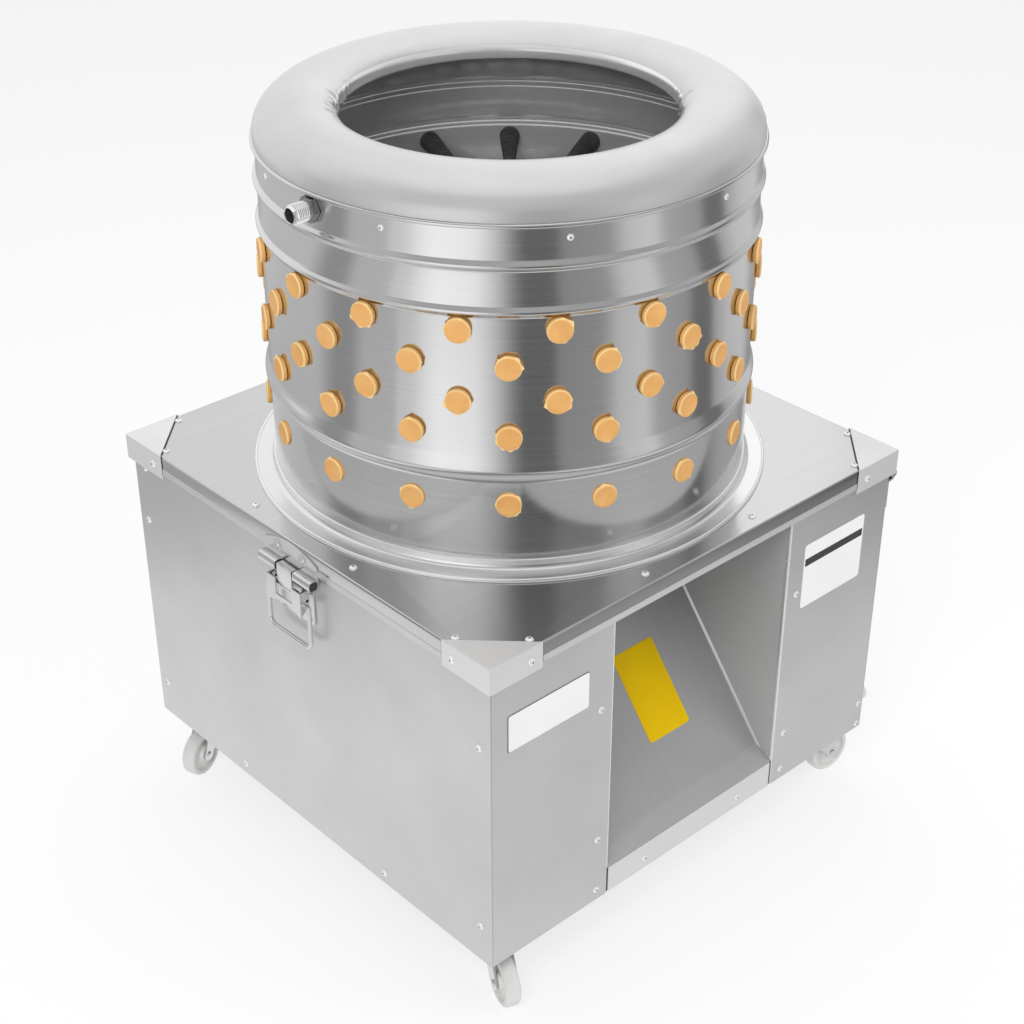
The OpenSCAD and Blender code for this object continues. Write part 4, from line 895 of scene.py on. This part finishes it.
# %% [markdown]
# ## Draw latch
# The latch is stamped from bright sheet. An arched keeper is riveted to the lid's rim, a hook
# grips its pin between two rolled knuckles, and a wide lever with a wire ring pulls it down.
# Outlines here are pairs of a distance out from the left face and a height.


# %% Latch helpers
def ring_points(cx, cy, radius, count=24, power=2.0, start=0, end=360):
    """Points round a circle, or round a rounded square where the power is above two."""
    points = []
    for k in range(count):
        t = radians(start + (end - start) * k / (count if end - start == 360 else count - 1))
        c, s = cos(t), sin(t)
        scale = radius / (abs(c) ** power + abs(s) ** power) ** (1 / power)
        points.append((cx + scale * c, cy + scale * s))
    return points


def across(target, outline, y0, y1, soft=0.4):
    stamp(target, bar(outline, y1 - y0, soft), left_face @ moved(0, y0, 0) @ ALONG_Y)


def upright(target, outline, out):
    """Stamps a sheet that stands parallel to the left face, with its back at a distance out."""
    stamp(target, bar(outline, sheet_t, 0.5), left_face @ moved(-out, 0, 0) @ TO_LEFT)


def rivet(target, y, z, out, radius=4.6):
    collar = [(radius, 0), (radius + 2.1, 0), (radius + 2.0, 0.5), (radius + 1.2, 0.8),
              (radius, 0.7)]
    dome = [(0, 2.5), (1.6, 2.35), (3, 1.8), (radius - 0.6, 0.8), (radius - 0.4, 0), (0, 0)]
    for line, closed in ((collar, True), (dome, False)):
        stamp(target, lathe(line, 24, closed), left_face @ moved(-out, y, z) @ turned(-90, "Y"))


left_face = moved(-face_mm, 0, 0)
sheet_t = 2
keeper_z, keeper_out, lever_z, lever_out = plate_mm - 33, 11.0, plate_mm - 52, 9.5
hook_lean, hook_arm = radians(5), 8
hook_out, hook_z = lever_out - hook_arm * sin(hook_lean), lever_z - hook_arm * cos(hook_lean)
print("latch helpers ready")

# %% Keeper
half_w, knuckle_in, knuckle_r, pin_r = 46.0, 15.5, 6, 2.5
arch_r, arch_z = 110, plate_mm - 112
keeper_bm, lever_bm, hook_bm, base_bm = (bmesh.new() for _ in range(4))
arch = [(arch_z + sqrt(arch_r ** 2 - y * y), y) for y in range(-46, 47, 4)]
upright(keeper_bm, [(keeper_z + 3, -half_w)] + arch + [(keeper_z + 3, half_w)], 4)
for y0, y1 in ((-half_w, -knuckle_in), (knuckle_in, half_w)):
    across(keeper_bm, ring_points(keeper_out, keeper_z, knuckle_r, 28, 3.0), y0, y1, 0.5)
across(keeper_bm, ring_points(keeper_out, keeper_z, pin_r, 16), -half_w + 1, half_w - 1, 0.1)
for y in (-22, 22):
    rivet(keeper_bm, y, keeper_z + 20, 6)
# The lower part of the knuckles' flat ends takes the near-black steel: painted shade.
paint_faces(keeper_bm, lambda face: abs(face.normal.y) > 0.98 and middle(face).z < keeper_z + 2
            and keeper_out + 4 > -middle(face).x - face_mm > 7)
piece(keeper_bm, "keeper", "bright_hardware", "lid", ["latch_keeper"],
      dress=("bright_hardware", "painted_shade"), flat=True)

# %% Lever
lever_half, slot_half, cheek_t = 30, 14.5, 2
skin_out, lever_foot = lever_out + 7, lever_z - 28
skin = [
    (lever_foot + 7 * (1 - (y / lever_half) ** 2), y) for y in range(-lever_half, lever_half + 1, 4)
] + [
    (lever_z + 5, lever_half), (lever_z + 5, slot_half), (lever_z - 15, slot_half),
    (lever_z - 15, -slot_half), (lever_z + 5, -slot_half), (lever_z + 5, -lever_half)]
upright(lever_bm, skin, skin_out)
cheek = ring_points(lever_out, lever_z, 5, 10, 2.0, 90, 200) + [
    (lever_out - 3, lever_z - 16), (skin_out, lever_foot + 3), (skin_out, lever_z + 5)]
for y0 in (-lever_half, lever_half - cheek_t):
    across(lever_bm, cheek, y0, y0 + cheek_t, 0.3)
across(lever_bm, ring_points(hook_out, hook_z, 2, 16), -lever_half, lever_half, 0.1)
piece(lever_bm, "lever", "bright_hardware", "latch_lever", ["latch_lever"], flat=True)

# %% Hook
tab_z, leg, hook_half = keeper_z + 2.9, keeper_out + 3.0, 13
across(hook_bm, [
    (hook_out + 3, hook_z - 2.6), (leg + 2, lever_z + 3), (leg + 2, tab_z + 2),
    (keeper_out - 3, tab_z + 2), (keeper_out - 3, tab_z), (leg, tab_z), (leg, lever_z + 4),
    (hook_out + 1, hook_z + 3.8),
    (hook_out - 2.4, hook_z + 3), (hook_out - 3.6, hook_z), (hook_out - 2, hook_z - 3),
], -hook_half, hook_half, 0.45)
piece(hook_bm, "hook", "bright_hardware", "latch_hook", ["latch_hook"], flat=True)

# %% Latch plate
foot_z, ear_t = lever_z - 44, 2
upright(base_bm, [(foot_z, -29), (foot_z, 29), (foot_z + 3, 32), (lever_z + 7, 32),
                  (lever_z + 7, -32), (foot_z + 3, -32)], 0)
ear = [(1, lever_z - 5), (lever_out, lever_z - 5)] + ring_points(
    lever_out, lever_z, 5, 9, 2.0, -60, 60) + [(lever_out, lever_z + 5), (1, lever_z + 5)]
for y in (-26, 24):
    across(base_bm, ear, y, y + ear_t, 0.3)
for y in (-31, 24):
    across(base_bm, ring_points(lever_out, lever_z, 2, 16), y, y + 7, 0.1)
for y in (-24, 24):
    stamp(base_bm, screw_head(3), left_face @ moved(-sheet_t, y, foot_z + 6) @ turned(-90, "Y"))
piece(base_bm, "latch_plate", "bright_hardware", "base", ["latch_base"], flat=True)

# %% [markdown]
# ## Water inlet
# A threaded tube goes through the drum's wall between two nuts. The thread is a small ridge spun
# round the tube while it climbs one pitch a turn, and the spin operator's step along the axis
# does that.

# %% Inlet
inlet_turn, inlet_up, inlet_r, shank_r, bore_r = 181.5, drum_h - 18.5, 10.4, 10.0, 7.5
pitch, turns, turn_steps = 2.1, 7, 32
on_inlet = turned(inlet_turn) @ moved(drum_r, 0, plate_mm + inlet_up) @ turned(90, "Y")
inlet_bm = lathe([
    (bore_r, -24), (shank_r - 0.5, -24), (shank_r, -23.5), (shank_r, 8.1), (shank_r, 8.6),
    (shank_r - 0.8, 9), (shank_r - 0.8, 24), (inlet_r - 1.5, 25.4), (inlet_r - 1.8, 27.4),
    (inlet_r - 2.1, 28), (bore_r + 0.4, 28), (bore_r, 27.4),
], 40, closed=True)
# The bore takes the near-black steel: painted shade inside the tube.
paint_faces(inlet_bm, lambda face: radius_of(face) < bore_r + 0.15)
thread = bmesh.new()
ridge, ridge_edges = chain(
    thread, [(shank_r - 0.9, 0, 8.9), (inlet_r, 0, 9.8), (shank_r - 0.9, 0, 10.7)])
spin(thread, ridge + ridge_edges, tau * turns, turn_steps * turns,
     dvec=(0, 0, pitch * MM / turn_steps), use_merge=False)
stamp(inlet_bm, thread, Matrix())
ops.transform(inlet_bm, matrix=on_inlet, verts=inlet_bm.verts)
piece(inlet_bm, "threaded_inlet", "bright_hardware", "lid", ["water_inlet"],
      dress=("turned_steel", "painted_shade"), crease=30)
nut_bm = bmesh.new()
flats = (inlet_r + 2.1) / cos(radians(30))
for low, tall in ((0.1, 7.0), (-drum_t - 8.5, 7.5)):
    hexagon = bar(arc(0, 0, flats, flats, range(0, 360, 60)), tall, 0.8, 2)
    stamp(nut_bm, hexagon, on_inlet @ moved(0, 0, low) @ turned(30))
piece(nut_bm, "inlet_hexagons", "bright_hardware", "lid", ["inlet_nuts"],
      dress=("nut_steel",), flat=True)

# %% [markdown]
# ## Casters
# Each wheel is moulded from white plastic with a rounded tread, a dished web and a boss. Its
# fork is pressed from zinc-plated steel. The four casters stand as they were last pushed, so
# each is turned its own way.

# %% Casters
wheel_r, trail, swivel_off, arm_t = 30.0, 28.0, 42.0, 2.5
casters = (("front_left", -1, -1, 70), ("front_right", 1, -1, 173),
           ("back_left", -1, 1, 20), ("back_right", 1, 1, 110))
half_wheel = [
    (4.1, 10), (9.2, 10), (10.2, 9.4), (10.8, 7), (12, 5.8), (20.5, 5.6), (22.3, 6.4),
    (23.2, 8.4), (24.6, 9), (27.2, 8.9), (28.8, 8.0), (29.7, 6.4), (wheel_r, 4.6)]
wheel_line = half_wheel + [(r, -z) for r, z in reversed(half_wheel)]
fork_top = panel_low - 3.1
head = [(r, fork_top - drop) for r, drop in (
    (0, 0), (6, 0), (21, 0), (22.6, 1), (23, 2.6), (22.6, 4.6), (21, 6), (0, 6))]
cap = [(r, panel_low + rise) for r, rise in ((0, 2.8), (5.8, 2.8), (7.2, 2), (7.5, 0.2), (6, 0.2))]
cap += [(6, fork_top - 1), (0, fork_top - 1)]
half_bolt = [(0, 15.5), (2.6, 15.5), (3.8, 14.6), (4.0, 13)]
bolt = half_bolt + [(r, -z) for r, z in reversed(half_bolt)]
arm = [(17, fork_top - 3), (-20, fork_top - 3), (-20, fork_top - 10), (-trail - 9, wheel_r + 1)]
arm += ring_points(-trail, wheel_r, 9, 12, 2.0, 180, 360) + [(17, fork_top - 12)]
for where, sx, sy, turn in casters:
    at_caster = moved(sx * (face_mm - swivel_off), sy * (face_mm - swivel_off), 0) @ turned(turn)
    axle = at_caster @ moved(-trail, 0, wheel_r) @ turned(90, "X")
    wheel_bm = lathe(wheel_line, 64, closed=True)
    paint_faces(wheel_bm, lambda face: radius_of(face) < 10.5)
    ops.transform(wheel_bm, matrix=axle, verts=wheel_bm.verts)
    piece(wheel_bm, "tyre_" + where, "wheel_plastic", "wheel_" + where, ["wheel_" + where],
          dress=("wheel_plastic", "pale_plastic"))
    fork_bm = bmesh.new()
    stamp(fork_bm, lathe(head, 40), at_caster)
    stamp(fork_bm, lathe(cap, 24), at_caster)
    for y in (11, -13.5):
        stamp(fork_bm, bar(arm, arm_t, 0.5), at_caster @ moved(0, y + arm_t, 0) @ turned(90, "X"))
    stamp(fork_bm, lathe(bolt, 24), axle)
    piece(fork_bm, "yoke_" + where, "bright_hardware", "fork_" + where, ["fork_" + where],
          flat=True)

# %% [markdown]
# ## Floor, background and light
# The floor is a wide pale disc that keeps the machine's shadow. The background is white for the
# camera. Polished steel only looks like steel when it has something to mirror, so a studio
# stands round the machine that only reflections can see: a drum of light with dark gaps.
# `bands` holds its stripes by direction. In mirrors the floor fades through them to a far grey.

# %% Floor and studio shapes
floor_r, studio_r, studio_h = 14.0, 1.2, 2.6
floor_bm = bmesh.new()
ops.create_circle(floor_bm, cap_ends=True, radius=floor_r, segments=96)
floor = link("floor", mesh_of(floor_bm, "floor"))

studio_bm = bmesh.new()
ops.create_circle(studio_bm, radius=studio_r, segments=128)
lifted = ops.extrude_edge_only(studio_bm, edges=studio_bm.edges[:])
ops.translate(studio_bm, vec=(0, 0, studio_h), verts=grown(lifted))
ops.translate(studio_bm, vec=(0, 0, 0.002), verts=studio_bm.verts)
studio = link("studio", mesh_of(studio_bm, "studio"))
for way in ("camera", "diffuse", "transmission", "volume_scatter", "shadow"):
    setattr(studio, "visible_" + way, False)
print("floor radius", floor_r, "m, studio radius", studio_r, "m")


# %% Helpers for light
def bare_tree(owner):
    owner.use_nodes = True
    owner.node_tree.nodes.clear()
    return owner.node_tree


def glow(tree, colour):
    return add(tree, "Emission", {"Color": colour, "Strength": 1.0}).outputs[0]


def mix_shaders(tree, factor, first, second):
    return add(tree, "MixShader", {"Fac": factor, 1: first, 2: second}).outputs[0]


def angle_ramp(tree, stops):
    """A value by direction round the Z axis. Stops are pairs of degrees and a level."""
    parts = add(tree, "SeparateXYZ", {0: object_place(tree)})
    around = maths(tree, "ARCTAN2", parts.outputs["Y"], parts.outputs["X"])
    ramp = add(tree, "ValToRGB", {"Fac": remap(tree, around, 0.0, 1.0, -pi, pi)})
    band = ramp.color_ramp
    placed = sorted((((turn + 180) % 360) / 360, level) for turn, level in stops)
    while len(band.elements) < len(placed):
        band.elements.new(0.5)
    for element, (position, level) in zip(band.elements, placed):
        element.position = position
        element.color = grey(level)
    return ramp.outputs["Color"], parts.outputs["Z"]


def stage_tree(thing):
    material = bpy.data.materials.new(thing.name)
    thing.data.materials.append(material)
    tree = bare_tree(material)
    material.cycles.emission_sampling = "NONE"
    return tree


bands = [
    (8, 0.42), (20, 0.35), (32, 0.6), (68, 0.6), (77, 0.45), (89, 0.62), (137, 0.66),
    (148, 0.36), (158, 0.36), (163, 0.6), (186, 0.8), (193, 1.1), (199, 1.25), (214, 1.15),
    (222, 0.75), (229, 0.3), (233, 0.16), (245, 0.17), (248, 0.33), (266, 0.38), (274, 0.7),
    (286, 0.8), (292, 0.5), (309, 0.42), (314, 0.2), (324, 0.2), (328, 0.5), (340, 0.7),
    (356, 0.72),
]
print("light in", len(bands), "stops")

# %% Floor material
own_light, near_edge, far_edge, far_level = 0.74, 0.85, 1.05, 0.5
tree = stage_tree(floor)
path = add(tree, "LightPath")
cloth = add(tree, "BsdfDiffuse", {"Color": grey(0.94)}).outputs[0]
seen = mix_shaders(tree, own_light, cloth, glow(tree, grey(1.0)))
floor_near, _ = angle_ramp(
    tree, [(-180, 0.9), (-130, 0.88), (-90, 0.75), (-40, 0.78), (0, 0.85), (60, 0.9), (130, 0.95)])
floor_far, _ = angle_ramp(tree, bands)
from_axis = add(tree, "VectorMath", {0: object_place(tree)}, operation="LENGTH")
far_out = remap(tree, from_axis.outputs["Value"], 0.0, 1.0, near_edge, far_edge)
mirrored = blend(tree, far_out, floor_near, blend(tree, far_out, floor_far, grey(far_level)))
both = mix_shaders(tree, path.outputs["Is Glossy Ray"], seen, glow(tree, mirrored))
add(tree, "OutputMaterial", {"Surface": both})
print("floor lit")

# %% Studio material
tree = stage_tree(studio)
low_band, height = angle_ramp(tree, bands)
high_band, _ = angle_ramp(tree, [
    (0, 0.8), (20, 1.2), (50, 1.2), (70, 1.02), (130, 0.98), (160, 0.6), (200, 0.5), (290, 0.46),
    (330, 0.6)])
behind, _ = angle_ramp(tree, [(8, 0.0), (16, 1.0), (134, 1.0), (142, 0.0)])
rise = remap(tree, height, 0.0, 1.0, 1.05, 1.3, interpolation_type="SMOOTHSTEP")
foot_fade = remap(tree, height, 0.0, 1.0, 0.04, 0.24, interpolation_type="SMOOTHSTEP")
foot_level = blend(tree, foot_fade, grey(0.8), grey(1.0))
low_band = blend(tree, 1.0, low_band, foot_level, "MULTIPLY")
early = maths(tree, "MULTIPLY", behind, remap(tree, height, 0.0, 1.0, 0.5, 0.65))
upper = maths(tree, "MAXIMUM", early, rise)
level = blend(tree, upper, low_band, high_band)
add(tree, "OutputMaterial", {"Surface": glow(tree, level)})
print("studio lit")

# %% World and lamps
ambient_colour, ambient_strength, aim = (0.97, 0.985, 1.0, 1), 0.55, Vector((0, 0, 0.45))
world = bpy.data.worlds.new("world")
scene.world = world
tree = bare_tree(world)
path = add(tree, "LightPath")
plain = maths(tree, "MAXIMUM", path.outputs["Is Camera Ray"], path.outputs["Is Glossy Ray"])
plain = maths(tree, "MAXIMUM", plain, path.outputs["Is Transmission Ray"])
ambient = add(tree, "Background", {"Color": ambient_colour, "Strength": ambient_strength})
white = add(tree, "Background", {"Color": grey(1.0), "Strength": 1.0})
mixed = mix_shaders(tree, plain, ambient.outputs[0], white.outputs[0])
add(tree, "OutputWorld", {"Surface": mixed})


def lamp(name, at, size, power):
    data = bpy.data.lights.new(name, "AREA")
    data.shape, data.size, data.energy = "DISK", size, power
    made = link(name, data)
    made.location = at
    made.rotation_mode = "QUATERNION"
    made.rotation_quaternion = (aim - Vector(at)).to_track_quat("-Z", "Y")
    made.visible_glossy = False


lamp("key", (-2.2, -1.4, 2.6), 1.6, 46)
lamp("fill", (1.8, -2.4, 1.8), 1.8, 22)
lamp("top", (0.3, 0.6, 3.4), 2.2, 34)
print("lamps and world ready")
